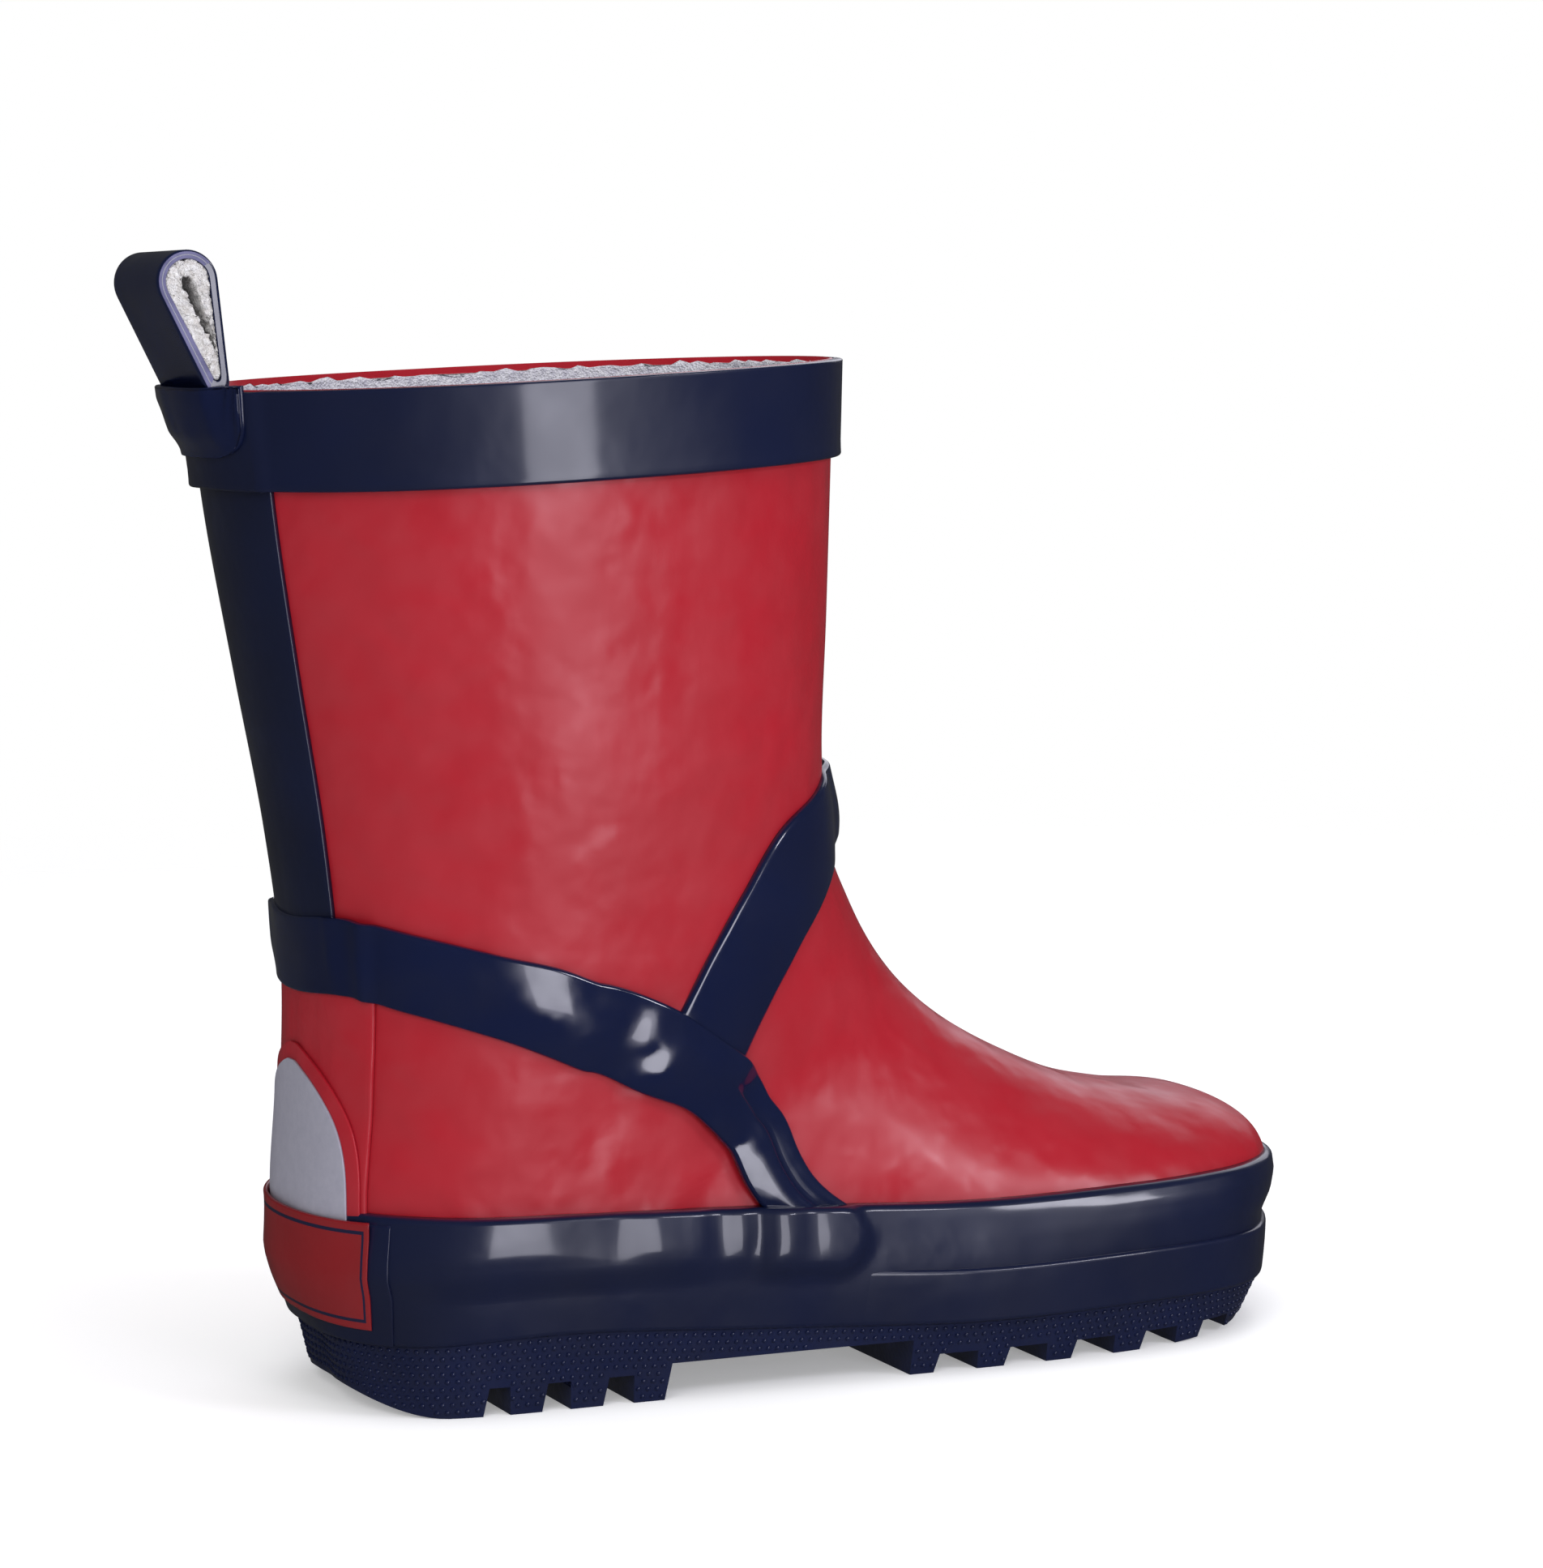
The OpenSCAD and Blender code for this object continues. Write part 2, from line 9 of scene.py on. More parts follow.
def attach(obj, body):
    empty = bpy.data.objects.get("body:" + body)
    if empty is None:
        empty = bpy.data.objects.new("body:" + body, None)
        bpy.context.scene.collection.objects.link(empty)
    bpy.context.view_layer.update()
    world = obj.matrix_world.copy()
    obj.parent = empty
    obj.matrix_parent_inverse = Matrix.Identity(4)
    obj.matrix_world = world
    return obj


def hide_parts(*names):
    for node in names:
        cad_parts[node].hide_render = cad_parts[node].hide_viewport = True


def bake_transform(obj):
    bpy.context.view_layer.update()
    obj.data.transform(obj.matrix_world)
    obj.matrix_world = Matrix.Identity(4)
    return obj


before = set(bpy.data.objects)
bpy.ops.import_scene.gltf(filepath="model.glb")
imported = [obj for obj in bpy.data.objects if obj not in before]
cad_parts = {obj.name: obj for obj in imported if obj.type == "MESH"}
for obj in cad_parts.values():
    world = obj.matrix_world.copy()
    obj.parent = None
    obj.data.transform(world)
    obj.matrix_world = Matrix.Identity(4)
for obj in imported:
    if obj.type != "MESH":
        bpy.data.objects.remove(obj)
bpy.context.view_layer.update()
mm = 0.001
print("frame loaded")

# Shapes are worked out in millimetres and brought to metres when a piece is finished.

# the last that every layer of the boot lies on

# flat ovals from the rim to the toe, each leaning forward more than the one before:
# front x, front z, back x, back z, half width, lift of the widest place, front power, back power, side
lastSections = [
    (58.7, 158, -41.3, 152.3, 35.2, 0, 2.2, 2.2, 0),
    (58.2, 140, -38.5, 133, 34.7, 0, 2.2, 2.2, 0),
    (57.6, 118, -34.3, 110, 33.5, 0, 2.2, 2.2, 0),
    (56.9, 98, -30, 87, 32.5, 0, 2.2, 2.2, 0),
    (58.5, 83, -27.2, 66, 31, -0.1, 2.2, 2.3, 0),
    (62.5, 73.5, -27.3, 46, 29.5, -0.2, 2.2, 2.4, 0),
    (67.5, 65, -28, 28, 28.5, -0.3, 2.2, 2.5, 0),
    (73.5, 58, -24, 15, 28, -0.4, 2.2, 2.8, 0),
    (81, 52, 5, 14, 28, -0.5, 2.2, 3, 0),
    (91, 46.5, 42, 12.5, 29, -0.5, 2.2, 3, 1),
    (103, 41.5, 74, 10.3, 31, -0.4, 2.2, 3, 2),
    (116, 38.5, 101, 10.3, 31, -0.3, 2.2, 3, 3),
    (128.3, 36.8, 121, 12, 27, -0.2, 2.2, 3, 4),
    (137, 32.2, 133, 16, 17, 0, 2.2, 2.5, 4),
    (139.8, 25, 139.5, 20, 3, 0, 2, 2, 4),
]
toeSection = len(lastSections) - 1


def curveAt(points, s):
    # smooth curve through a list of number tuples
    last = len(points) - 1
    i = min(int(max(s, 0)), last - 1)
    f = min(max(s - i, 0), 1)
    a, b, c, d = points[max(i - 1, 0)], points[i], points[i + 1], points[min(i + 2, last)]
    return [
        0.5 * (2 * q + (r - p) * f + (2 * p - 5 * q + 4 * r - w) * f * f + (3 * q - p - 3 * r + w) * f**3)
        for p, q, r, w in zip(a, b, c, d)
    ]


@functools.lru_cache(maxsize=None)
def section(u):
    fx, fz, bx, bz, width, lift, frontPower, backPower, side = curveAt(lastSections, u)
    half = math.hypot(fx - bx, fz - bz) / 2
    along = ((fx - bx) / 2 / half, (fz - bz) / 2 / half)
    return ((fx + bx) / 2, (fz + bz) / 2), along, half, lift * half, width, 2 / frontPower, 2 / backPower, side


def signedPower(v, p):
    return math.copysign(abs(v) ** p, v)


def rimRise(u, t):
    # the soft rim stands a little higher on the inner side, towards the back
    return 1.3 * (1 - ease(u, 0, 1.3)) * (0.5 + 0.5 * math.cos(math.radians(t - 135))) ** 1.5


def onLast(u, t):
    # point on the outside of the upper: u counts sections from the rim, t is the angle round from the front
    if u < 0:
        return 2 * onLast(0, t) - onLast(-u, t)
    mid, along, half, widest, width, frontPower, backPower, side = section(min(u, toeSection))
    c, s = math.cos(math.radians(t)), math.sin(math.radians(t))
    power = frontPower if c > 0 else backPower
    p = widest + (half - widest if c > 0 else half + widest) * signedPower(c, power)
    height = mid[1] + p * along[1] + rimRise(u, t)
    return Vector((mid[0] + p * along[0], side + width * signedPower(s, power), height))


def offLast(u, t, d):
    # the same point moved outwards by d
    du = onLast(u + 0.02, t) - onLast(u - 0.02, t)
    dt = onLast(u, t + 1) - onLast(u, t - 1)
    return onLast(u, t) + du.cross(dt).normalized() * d


def ease(v, a, b):
    f = min(max((v - a) / (b - a), 0), 1)
    return f * f * (3 - 2 * f)


def hump(v, middle, width):
    return math.exp(-(((v - middle) / width) ** 2))


def wobble(point, wavelength, seed=0.0):
    # soft unevenness from -1 to 1, over a wavelength in mm
    return noise.noise(point / wavelength + Vector((seed, 3 * seed, -seed)))


# the foot in plan, for the foxing and the sole

footPlan = {"centre": (55, 1.5), "half": (84, 30), "widestZ": 19, "edgeX": (-30, 140), "turn": 4, "rise": 3}
foxingTop = [(31.5,), (30.8,), (29.2,), (27.2,), (27.4,), (28,)]
soleEdge = [(11,), (12.3,), (10.3,), (8.2,), (8.5,), (8.2,)]


def edgeHeight(heights, x):
    low, high = footPlan["edgeX"]
    return curveAt(heights, (len(heights) - 1) * (x - low) / (high - low))[0]


def outsideLast(x, y, z):
    low, high = 3, toeSection
    for _ in range(12):
        mid = (low + high) / 2
        fx, fz, bx, bz = curveAt(lastSections, mid)[:4]
        ahead = (fx - bx) * (z - bz) - (fz - bz) * (x - bx)
        low, high = (mid, high) if ahead < 0 else (low, mid)
    centre, along, half, widest, width, frontPower, backPower, side = section((low + high) / 2)
    q = (x - centre[0]) * along[0] + (z - centre[1]) * along[1] - widest
    power, reach = (frontPower, half - widest) if q > 0 else (backPower, half + widest)
    if x > lastSections[-1][0]:
        return 1
    return (abs(q) / reach) ** (2 / power) + (abs(y - side) / width) ** (2 / power) - 1


@functools.lru_cache(maxsize=None)
def planReach(turns, rises):
    # where the upper's outline is, after so many turns round the foot and rises above its widest place
    angle = math.radians(turns * footPlan["turn"])
    cx, cy = footPlan["centre"]
    wx, wy = footPlan["half"][0] * math.cos(angle), footPlan["half"][1] * math.sin(angle)
    low, high = 0.5, 1.4
    for _ in range(13):
        mid = (low + high) / 2
        inside = outsideLast(cx + mid * wx, cy + mid * wy, footPlan["widestZ"] + rises * footPlan["rise"]) < 0
        low, high = (mid, high) if inside else (low, mid)
    return cx + low * wx, cy + low * wy


@functools.lru_cache(maxsize=None)
def planPoint(degrees, z):
    turns, rises = degrees / footPlan["turn"], max(z - footPlan["widestZ"], 0) / footPlan["rise"]
    i, j, count = math.floor(turns), math.floor(rises), 360 // footPlan["turn"]
    below, above = (
        curveAt([planReach((i + n) % count, j + m) for n in (-1, 0, 1, 2)], 1 + turns - i) for m in (0, 1)
    )
    return Vector((*below, z)).lerp(Vector((*above, z)), rises - j)


def roundFoot(degrees, z, d):
    # point at an angle round the foot, d outside the upper at height z
    angle = math.radians(degrees)
    out = Vector((footPlan["half"][1] * math.cos(angle), footPlan["half"][0] * math.sin(angle), 0)).normalized()
    return planPoint(degrees % 360, z) + out * d


# making pieces


def flatStrip(length, width, thick, along, across, rounding, ring=False, layers=0):
    # a flat strip with rounded upper edges, x along, y across, z through; a ring has open ends
    bm = bmesh.new()
    bmesh.ops.create_grid(bm, x_segments=along, y_segments=across, size=0.5)
    bmesh.ops.translate(bm, verts=bm.verts, vec=(0.5, 0.5, 0))
    bmesh.ops.scale(bm, verts=bm.verts, vec=(length, width, 1))
    bmesh.ops.solidify(bm, geom=bm.faces[:], thickness=thick)
    lowest = min(v.co.z for v in bm.verts)
    bmesh.ops.translate(bm, verts=bm.verts, vec=(0, 0, -lowest))
    if ring:
        ends = [f for f in bm.faces if abs(f.normal.x) > 0.9]
        bmesh.ops.delete(bm, geom=ends, context="FACES_ONLY")
    if rounding:
        rims = [
            e for e in bm.edges
            if min(v.co.z for v in e.verts) > thick * 0.9 and not all(abs(f.normal.z) > 0.9 for f in e.link_faces)
            and (not ring or abs(e.verts[0].co.x - e.verts[1].co.x) > 1e-6)
        ]
        bmesh.ops.bevel(bm, geom=rims, offset=rounding, segments=4, profile=0.5, affect="EDGES", material=-1)
    if layers:
        walls = [e for e in bm.edges if abs(e.verts[0].co.z - e.verts[1].co.z) > thick * 0.4]
        bmesh.ops.subdivide_edges(bm, edges=walls, cuts=layers, use_grid_fill=True)
    flat = bm.loops.layers.uv.new("flat")
    for f in bm.faces:
        for corner in f.loops:
            corner[flat].uv = corner.vert.co.xy / 100
    return bm


def bend(bm, place):
    for v in bm.verts:
        v.co = place(*v.co)


def stripOnLast(size, thickness, cuts, rounding, edges, lift):
    # laid between two lines of (section, angle) points; lift gives the height of its underside from
    # the section, the angle, the way along and the way across
    length, width = size
    strip = flatStrip(length, width, thickness, *cuts, rounding)

    def place(x, y, z):
        s, w = x / length, y / width
        a, b = (curveAt(edge, s * (len(edge) - 1)) for edge in edges)
        u, t = a[0] + (b[0] - a[0]) * w, a[1] + (b[1] - a[1]) * w
        return offLast(u, t, lift(u, t, s, w) + z)

    bend(strip, place)
    return strip


def evenly(d):
    return lambda u, t, s, w: d


def roundBack(sides):
    # both edges of a strip centred on the back, from its (section, half angle) points
    return [(u, 180 - side) for u, side in sides], [(u, 180 + side) for u, side in sides]


def makePiece(name, bm, material, body, nodes=(), closed=True):
    if closed:
        bmesh.ops.remove_doubles(bm, verts=bm.verts, dist=0.004)
        bmesh.ops.recalc_face_normals(bm, faces=bm.faces)
    bmesh.ops.scale(bm, verts=bm.verts, vec=(mm, mm, mm))
    mesh = bpy.data.meshes.new(name)
    bm.to_mesh(mesh)
    bm.free()
    mesh.shade_smooth()
    mesh.materials.append(material)
    piece = bpy.data.objects.new(name, mesh)
    bpy.context.scene.collection.objects.link(piece)
    if body == "pull_loop":
        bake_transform(piece)
    else:
        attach(piece, body)
    if nodes:
        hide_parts(*nodes)
    print(f"{name}: {len(mesh.polygons)} faces")
    return piece


# materials


def linear(hexColour):
    # sRGB hex to the linear values that nodes take
    parts = [int(hexColour[i : i + 2], 16) / 255 for i in (1, 3, 5)]
    return (*[c / 12.92 if c <= 0.04045 else ((c + 0.055) / 1.055) ** 2.4 for c in parts], 1)


def addNode(tree, kind, settings=None, links=None):
    node = tree.nodes.new(kind)
    for key, value in (settings or {}).items():
        if isinstance(key, int) or key in node.inputs:
            node.inputs[key].default_value = value
        else:
            setattr(node, key, value)
    for key, source in (links or {}).items():
        tree.links.new(source, node.inputs[key])
    return node


def newMaterial(name):
    material = bpy.data.materials.new(name)
    material.use_nodes = True
    tree = material.node_tree
    return material, tree, tree.nodes["Principled BSDF"], addNode(tree, "ShaderNodeTexCoord").outputs["Object"]


def paint(tree, shader, pattern, lowColour, highColour):
    tone = addNode(
        tree, "ShaderNodeMix", {"data_type": "RGBA", 6: linear(lowColour), 7: linear(highColour)}, {0: pattern}
    )
    tree.links.new(tone.outputs[2], shader.inputs["Base Color"])


def emboss(tree, shader, height, depth, strength=1):
    # depth in mm
    bump = addNode(tree, "ShaderNodeBump", {"Strength": strength, "Distance": depth * mm}, {"Height": height})
    tree.links.new(bump.outputs["Normal"], shader.inputs["Normal"])


def patternScale(wavelength):
    # noise scale for a pattern that repeats about every so many mm
    return 1 / (wavelength * mm)


def rubber(name, look):
    # vulcanised rubber: a smooth skin with the soft waves of hand lay-up and the fine peel of its lacquer
    material, tree, shader, place = newMaterial(name)
    cloud = addNode(
        tree, "ShaderNodeTexNoise", {"Scale": patternScale(look["cloud"]), "Detail": 1}, {"Vector": place}
    )
    paint(tree, shader, cloud.outputs["Fac"], look["colour"], look["shade"])
    haze = addNode(
        tree, "ShaderNodeTexNoise", {"Scale": patternScale(look["haze"]), "Detail": 2}, {"Vector": place}
    )
    rough = addNode(
        tree, "ShaderNodeMapRange",
        {"interpolation_type": "SMOOTHSTEP", "From Min": 0.25, "From Max": 0.75,
         "To Min": look["roughness"][0], "To Max": look["roughness"][1]},
        {"Value": haze.outputs["Fac"]},
    )
    tree.links.new(rough.outputs["Result"], shader.inputs["Roughness"])
    # waves, dents and peel, each as a height in mm
    height = None
    for wavelength, depth in look["relief"]:
        wave = addNode(
            tree, "ShaderNodeTexNoise", {"Scale": patternScale(wavelength), "Detail": 1}, {"Vector": place}
        )
        scaled = addNode(tree, "ShaderNodeMath", {"operation": "MULTIPLY", 1: depth}, {0: wave.outputs["Fac"]})
        if height:
            scaled = addNode(
                tree, "ShaderNodeMath", {"operation": "ADD"}, {0: scaled.outputs[0], 1: height.outputs[0]}
            )
        height = scaled
    emboss(tree, shader, height.outputs[0], 1)
    shader.inputs["IOR"].default_value = 1.52
    shader.inputs["Specular IOR Level"].default_value = 0.35
    shader.inputs["Coat Weight"].default_value = look["coat"]
    shader.inputs["Coat Roughness"].default_value = look["coatRoughness"]
    shader.inputs["Coat IOR"].default_value = 1.5
    return material


def fleece(name, look):
    # brushed cotton knit: short upright fibres in clumps, soft at grazing angles
    material, tree, shader, place = newMaterial(name)
    clumps = addNode(
        tree, "ShaderNodeTexNoise", {"Scale": patternScale(look["clump"]), "Detail": 5, "Roughness": 0.7},
        {"Vector": place},
    )
    fibres = addNode(tree, "ShaderNodeTexVoronoi", {"Scale": patternScale(look["fibre"])}, {"Vector": place})
    spread = addNode(
        tree, "ShaderNodeMapRange", {"From Min": 0.3, "From Max": 0.62}, {"Value": clumps.outputs["Fac"]}
    )
    paint(tree, shader, spread.outputs["Result"], look["shade"], look["colour"])
    height = addNode(
        tree, "ShaderNodeMath", {"operation": "MULTIPLY_ADD", 1: 1.4},
        {0: clumps.outputs["Fac"], 2: fibres.outputs["Distance"]},
    )
    emboss(tree, shader, height.outputs[0], look["pile"])
    shader.inputs["Roughness"].default_value = 0.95
    shader.inputs["Specular IOR Level"].default_value = 0.2
    shader.inputs["Sheen Weight"].default_value = 0.4
    shader.inputs["Sheen Roughness"].default_value = 0.6
    return material


redLook = {
    "colour": "#A11A28", "shade": "#951722", "cloud": 26, "haze": 9, "roughness": (0.3, 0.5),
    "relief": [(30, 1.0), (10, 0.6), (5, 0.25), (2.2, 0.03)], "coat": 0.1, "coatRoughness": 0.2,
}
navyLook = {
    "colour": "#0F1735", "shade": "#0C122A", "cloud": 20, "haze": 13, "roughness": (0.29, 0.44),
    "relief": [(20, 0.5), (8, 0.2), (3.5, 0.05), (1.8, 0.008)], "coat": 0.45, "coatRoughness": 0.1,
}
strapLook = {
    "colour": "#0F1735", "shade": "#0C122B", "cloud": 20, "haze": 8, "roughness": (0.1, 0.26),
    "relief": [(12, 0.5), (5, 0.12), (2, 0.012)], "coat": 0.5, "coatRoughness": 0.07,
}
soleLook = {
    "colour": "#151D3F", "shade": "#0F1530", "cloud": 12, "haze": 4, "roughness": (0.29, 0.44),
    "relief": [(6, 0.08), (0.9, 0.04)], "coat": 0.3, "coatRoughness": 0.1,
}
redRubber = rubber("vulcanisedRubberRed", redLook)
navyRubber = rubber("vulcanisedRubberNavy", navyLook)
strapRubber = rubber("vulcanisedRubberStrap", strapLook)
soleRubber = rubber("mouldedRubberSole", soleLook)
liningFleece = fleece(
    "brushedCottonKnit", {"colour": "#E9E8EE", "shade": "#B5B2C2", "clump": 1.1, "fibre": 0.35, "pile": 0.35}
)
loopFleece = fleece(
    "brushedCottonWebbing", {"colour": "#EDECEC", "shade": "#C0BAB4", "clump": 0.8, "fibre": 0.3, "pile": 0.3}
)
print("materials made")

# upper

upperShape = {"around": 176, "along": 168, "wall": 1.4, "seamRise": 0.55}


def underTheRed(u, t):
    # how far the reinforcement strips under the red rubber press it out
    angle = t if t > 180 else 360 - t
    rear = 277.5 - (u - 5.85) * 5.5
    front = 287 - (u - 7.2) * 25.8 if u > 7.2 else 287 + (7.2 - u) * 3
    strip = ease(angle, rear - 1.2, rear + 0.6) * (1 - ease(angle, front - 2.5, front + 2.5))
    return upperShape["seamRise"] * strip * ease(u, 4.6, 5.4)


def buildUpper():
    around, along = upperShape["around"], upperShape["along"]
    bm = bmesh.new()
    bmesh.ops.create_grid(bm, x_segments=along, y_segments=around, size=0.5)
    lip = [(0, -0.5), (0.006, -0.18), (0.02, -0.03)]  # the rim's outer edge is rounded
    tip = sum((onLast(toeSection, t) for t in range(0, 360, 30)), Vector()) / 12
    for v in bm.verts:
        row = round((v.co.x + 0.5) * along)
        t = 360 * (v.co.y + 0.5)
        if row == along:
            v.co = tip
        elif row < len(lip):
            v.co = offLast(lip[row][0], t, lip[row][1])
        else:
            u = 0.02 + (toeSection - 0.02) * (row - 2) / (along - 3)
            v.co = offLast(u, t, underTheRed(u, t))
    bmesh.ops.remove_doubles(bm, verts=bm.verts, dist=0.004)
    piece = makePiece("upper", bm, redRubber, "boot", ["upper"], closed=False)
    wall = piece.modifiers.new("wall", "SOLIDIFY")
    wall.thickness = upperShape["wall"] * mm
    wall.offset = -1
    return piece


buildUpper()

# lining

liningShape = {"around": 150, "along": 130, "top": 0.1, "end": 13.15, "outer": -2.4, "inner": -3.6, "fuzz": 0.22}


def buildLining():
    along, around = liningShape["along"], liningShape["around"]
    bm = bmesh.new()
    bmesh.ops.create_grid(bm, x_segments=along, y_segments=around, size=0.5)
    bmesh.ops.solidify(bm, geom=bm.faces[:], thickness=0.1)
    ends = [f for f in bm.faces if abs(f.normal.y) > 0.9]
    bmesh.ops.delete(bm, geom=ends, context="FACES_ONLY")
    # the far end is closed by drawing each wall's last ring together
    ends = [f for f in bm.faces if f.normal.x > 0.9]
    bmesh.ops.delete(bm, geom=ends, context="FACES_ONLY")
    middle = sum(v.co.z for v in bm.verts) / len(bm.verts)
    for v in bm.verts:
        s, t, outer = v.co.x + 0.5, 360 * (v.co.y + 0.5), v.co.z > middle
        if s > 0.999:
            d = liningShape["outer"] if outer else liningShape["inner"]
            ring = [offLast(liningShape["end"], a, d) for a in range(0, 360, 30)]
            v.co = sum(ring, Vector()) / 12
            continue
        u = liningShape["top"] + (liningShape["end"] - liningShape["top"]) * s**1.5
        if outer:
            d = liningShape["outer"] + 0.95 * (1 - ease(u, 0.8, 1.6))
            v.co = offLast(u, t, d)
        else:
            p = offLast(u, t, liningShape["inner"])
            shag = liningShape["fuzz"] * wobble(p, 0.9) + 0.5 * liningShape["fuzz"] * wobble(p, 0.4, 7)
            ragged = 0.1 * wobble(p, 1.3, 4) if s < 0.001 else 0
            v.co = offLast(u + ragged, t, liningShape["inner"] - shag)
    return makePiece("lining", bm, liningFleece, "boot", ["lining"])


buildLining()
print("upper and lining made")

# stays, top band and straps

stays = {"thickness": 0.75, "angle": 24, "angleBelow": 20.5, "lowerAngle": 33}
bandShape = {
    "thickness": 1.3, "length": 240, "width": 16, "bottom": [(0.85,), (0.8,), (0.75,)], "around": 220, "across": 14,
}
strapShape = {"thickness": 1.1, "rounding": 0.5, "crown": 0.8}
# how high the next layer lies on a stay or on a strap, with the cement between them
stayRise = stays["thickness"] + 0.1
strapRise = strapShape["thickness"] + 0.15

backStayEdges = roundBack([(0.5, stays["angle"]), (3.8, stays["angleBelow"])])
backStay = stripOnLast((50, 30), stayRise, (50, 22), 0.35, backStayEdges, evenly(0))
makePiece("back_stay", backStay, navyRubber, "boot", ["back_stay"])

lowerStayEdges = roundBack([(3.75, stays["lowerAngle"]), (5.95, stays["lowerAngle"] + 2)])
lowerStay = stripOnLast((34, 40), stayRise, (36, 26), 0.5, lowerStayEdges, evenly(0))
makePiece("lower_back_stay", lowerStay, redRubber, "boot", ["lower_back_stay"])


def overBackStay(t):
    # the band's rise over the back stay, with the pressed ridge that its edge leaves
    side = abs(t - 180)
    return stayRise * (1 - ease(side, 22.5, 26)) + 0.3 * hump(side, 23.3, 0.9)


def bandBottom(t):
    return curveAt(bandShape["bottom"], 2 * (1 - abs(math.cos(math.radians(t / 2)))))[0]


def placeBand(x, y, z):
    t, w = 360 * x / bandShape["length"], y / bandShape["width"]
    u = 0.004 + (bandBottom(t) - 0.004) * w
    rise = overBackStay(t) + 0.12 * hump(w, 0.97, 0.05)
    return offLast(u, t, rise + z + 0.08 * wobble(onLast(u, t), 14))


topBand = flatStrip(
    bandShape["length"], bandShape["width"], bandShape["thickness"] + 0.15,
    bandShape["around"], bandShape["across"], 0.45, ring=True,
)
bend(topBand, placeBand)
makePiece("top_band", topBand, navyRubber, "boot", ["top_band"])

ankleUpper = [
    (3.58, 180), (3.57, 204), (3.75, 227), (4, 247), (4.3, 264), (4.85, 279),
    (5.45, 289), (6.05, 296), (6.7, 299), (7.4, 297), (8.62, 281),
]
ankleLower = [
    (4.15, 180), (4.15, 204), (4.32, 224), (4.55, 241), (4.85, 256), (5.25, 269),
    (5.75, 278), (6.3, 286), (6.9, 289.5), (7.4, 287.5), (8.2, 278),
]
instepRear = [
    (3.14, 372), (3.15, 360), (3.19, 342), (3.34, 325), (3.55, 307), (4.05, 296), (4.6, 288.5), (5.45, 280),
]
instepFront = [
    (3.75, 372), (3.85, 360), (4.05, 342), (4.35, 330), (4.75, 317), (5.25, 306), (5.65, 300), (6.3, 293),
]


def crowned(w):
    return strapShape["crown"] * (1 - (2 * w - 1) ** 2)


def underAnkle(u, t, s, w):
    # the ankle strap rides over both stays at the back and over the ends of the instep straps
    k = abs(s - 0.5) * 20  # 0 at the back, 10 at the sole
    side = abs(t - 180)
    back = stayRise * (1 - ease(side, 31, 35)) + 0.45 * hump(side, 31, 1.7)
    step = 0.45 * hump(side, 20.5, 1.7) * (1 - ease(u, 3.85, 4.15)) - 0.25 * hump(side, 26, 2)
    rear = 5.35 + 0.55 * w
    below = ease(w, 0.34, 0.46)
    full = 1 - ease(k, 6.9, 7.6)
    instep = strapRise * ease(k, rear - 0.75, rear + 0.3) * (full + (1 - full) * below)
    instep *= 1 - 0.35 * ease(k, 8.6, 9.8)
    p = onLast(u, t)
    crossing = ease(k, 4.4, 5.4) * (1 - ease(k, 7.4, 9))
    crease = 0.42 * wobble(p, 5.5, 2) * crossing + 0.14 * wobble(p, 9, 5)
    crease -= 0.45 * hump(w, 0.45 - 0.05 * (k - 8), 0.13) * ease(k, 6.8, 7.6)
    return back + step + instep + crease + crowned(w) * ease(side, 0, 60) - 0.4 * (1 - ease(side, 20, 40))


def mirrored(edge):
    return [(u, 360 - t) for u, t in edge]


def roundTheBack(edge):
    return mirrored(edge)[:0:-1] + edge


ankleEdges = (roundTheBack(ankleUpper), roundTheBack(ankleLower))
ankleStrap = stripOnLast(
    (190, 12), strapShape["thickness"], (300, 20), strapShape["rounding"], ankleEdges, underAnkle
)
makePiece("ankle_strap", ankleStrap, strapRubber, "boot", ["ankle_strap"])


def underInstep(over):
    def lift(u, t, s, w):
        angle = t if over else 360 - t
        rise = strapRise * ease(angle, 338, 347) if over else 0
        p = onLast(u, t)
        front = ease(angle, 325, 350)
        return rise + 0.22 * wobble(p, 8, 9) + crowned(w) - 0.05 - 0.8 * front * (1 - 0.5 * w)

    return lift


for name, over in (("instep_strap_outer", True), ("instep_strap_inner", False)):
    edges = (instepRear, instepFront) if over else (mirrored(instepRear), mirrored(instepFront))
    strap = stripOnLast(
        (80, 11), strapShape["thickness"], (110, 14), strapShape["rounding"], edges, underInstep(over)
    )
    makePiece(name, strap, strapRubber, "boot", [name])
print("stays, band and straps made")

# foxing, toe bumper, heel strip and label

foxingShape = {
    "inner": -0.1, "thickness": 2.55, "length": 420, "width": 20, "around": 420, "up": 22, "rounding": 0.9,
}


def footX(degrees):
    return roundFoot(degrees, footPlan["widestZ"], 0).x


def drawnIn(x, z):
    # how far the heel rounds in towards the sole, and how much thinner the rubber is at both ends
    heel = 1 - ease(x, -30, -12)
    return heel * (1.1 + 3.2 * (1 - ease(z, 9, 21))) + 1.1 * ease(x, 120, 138)


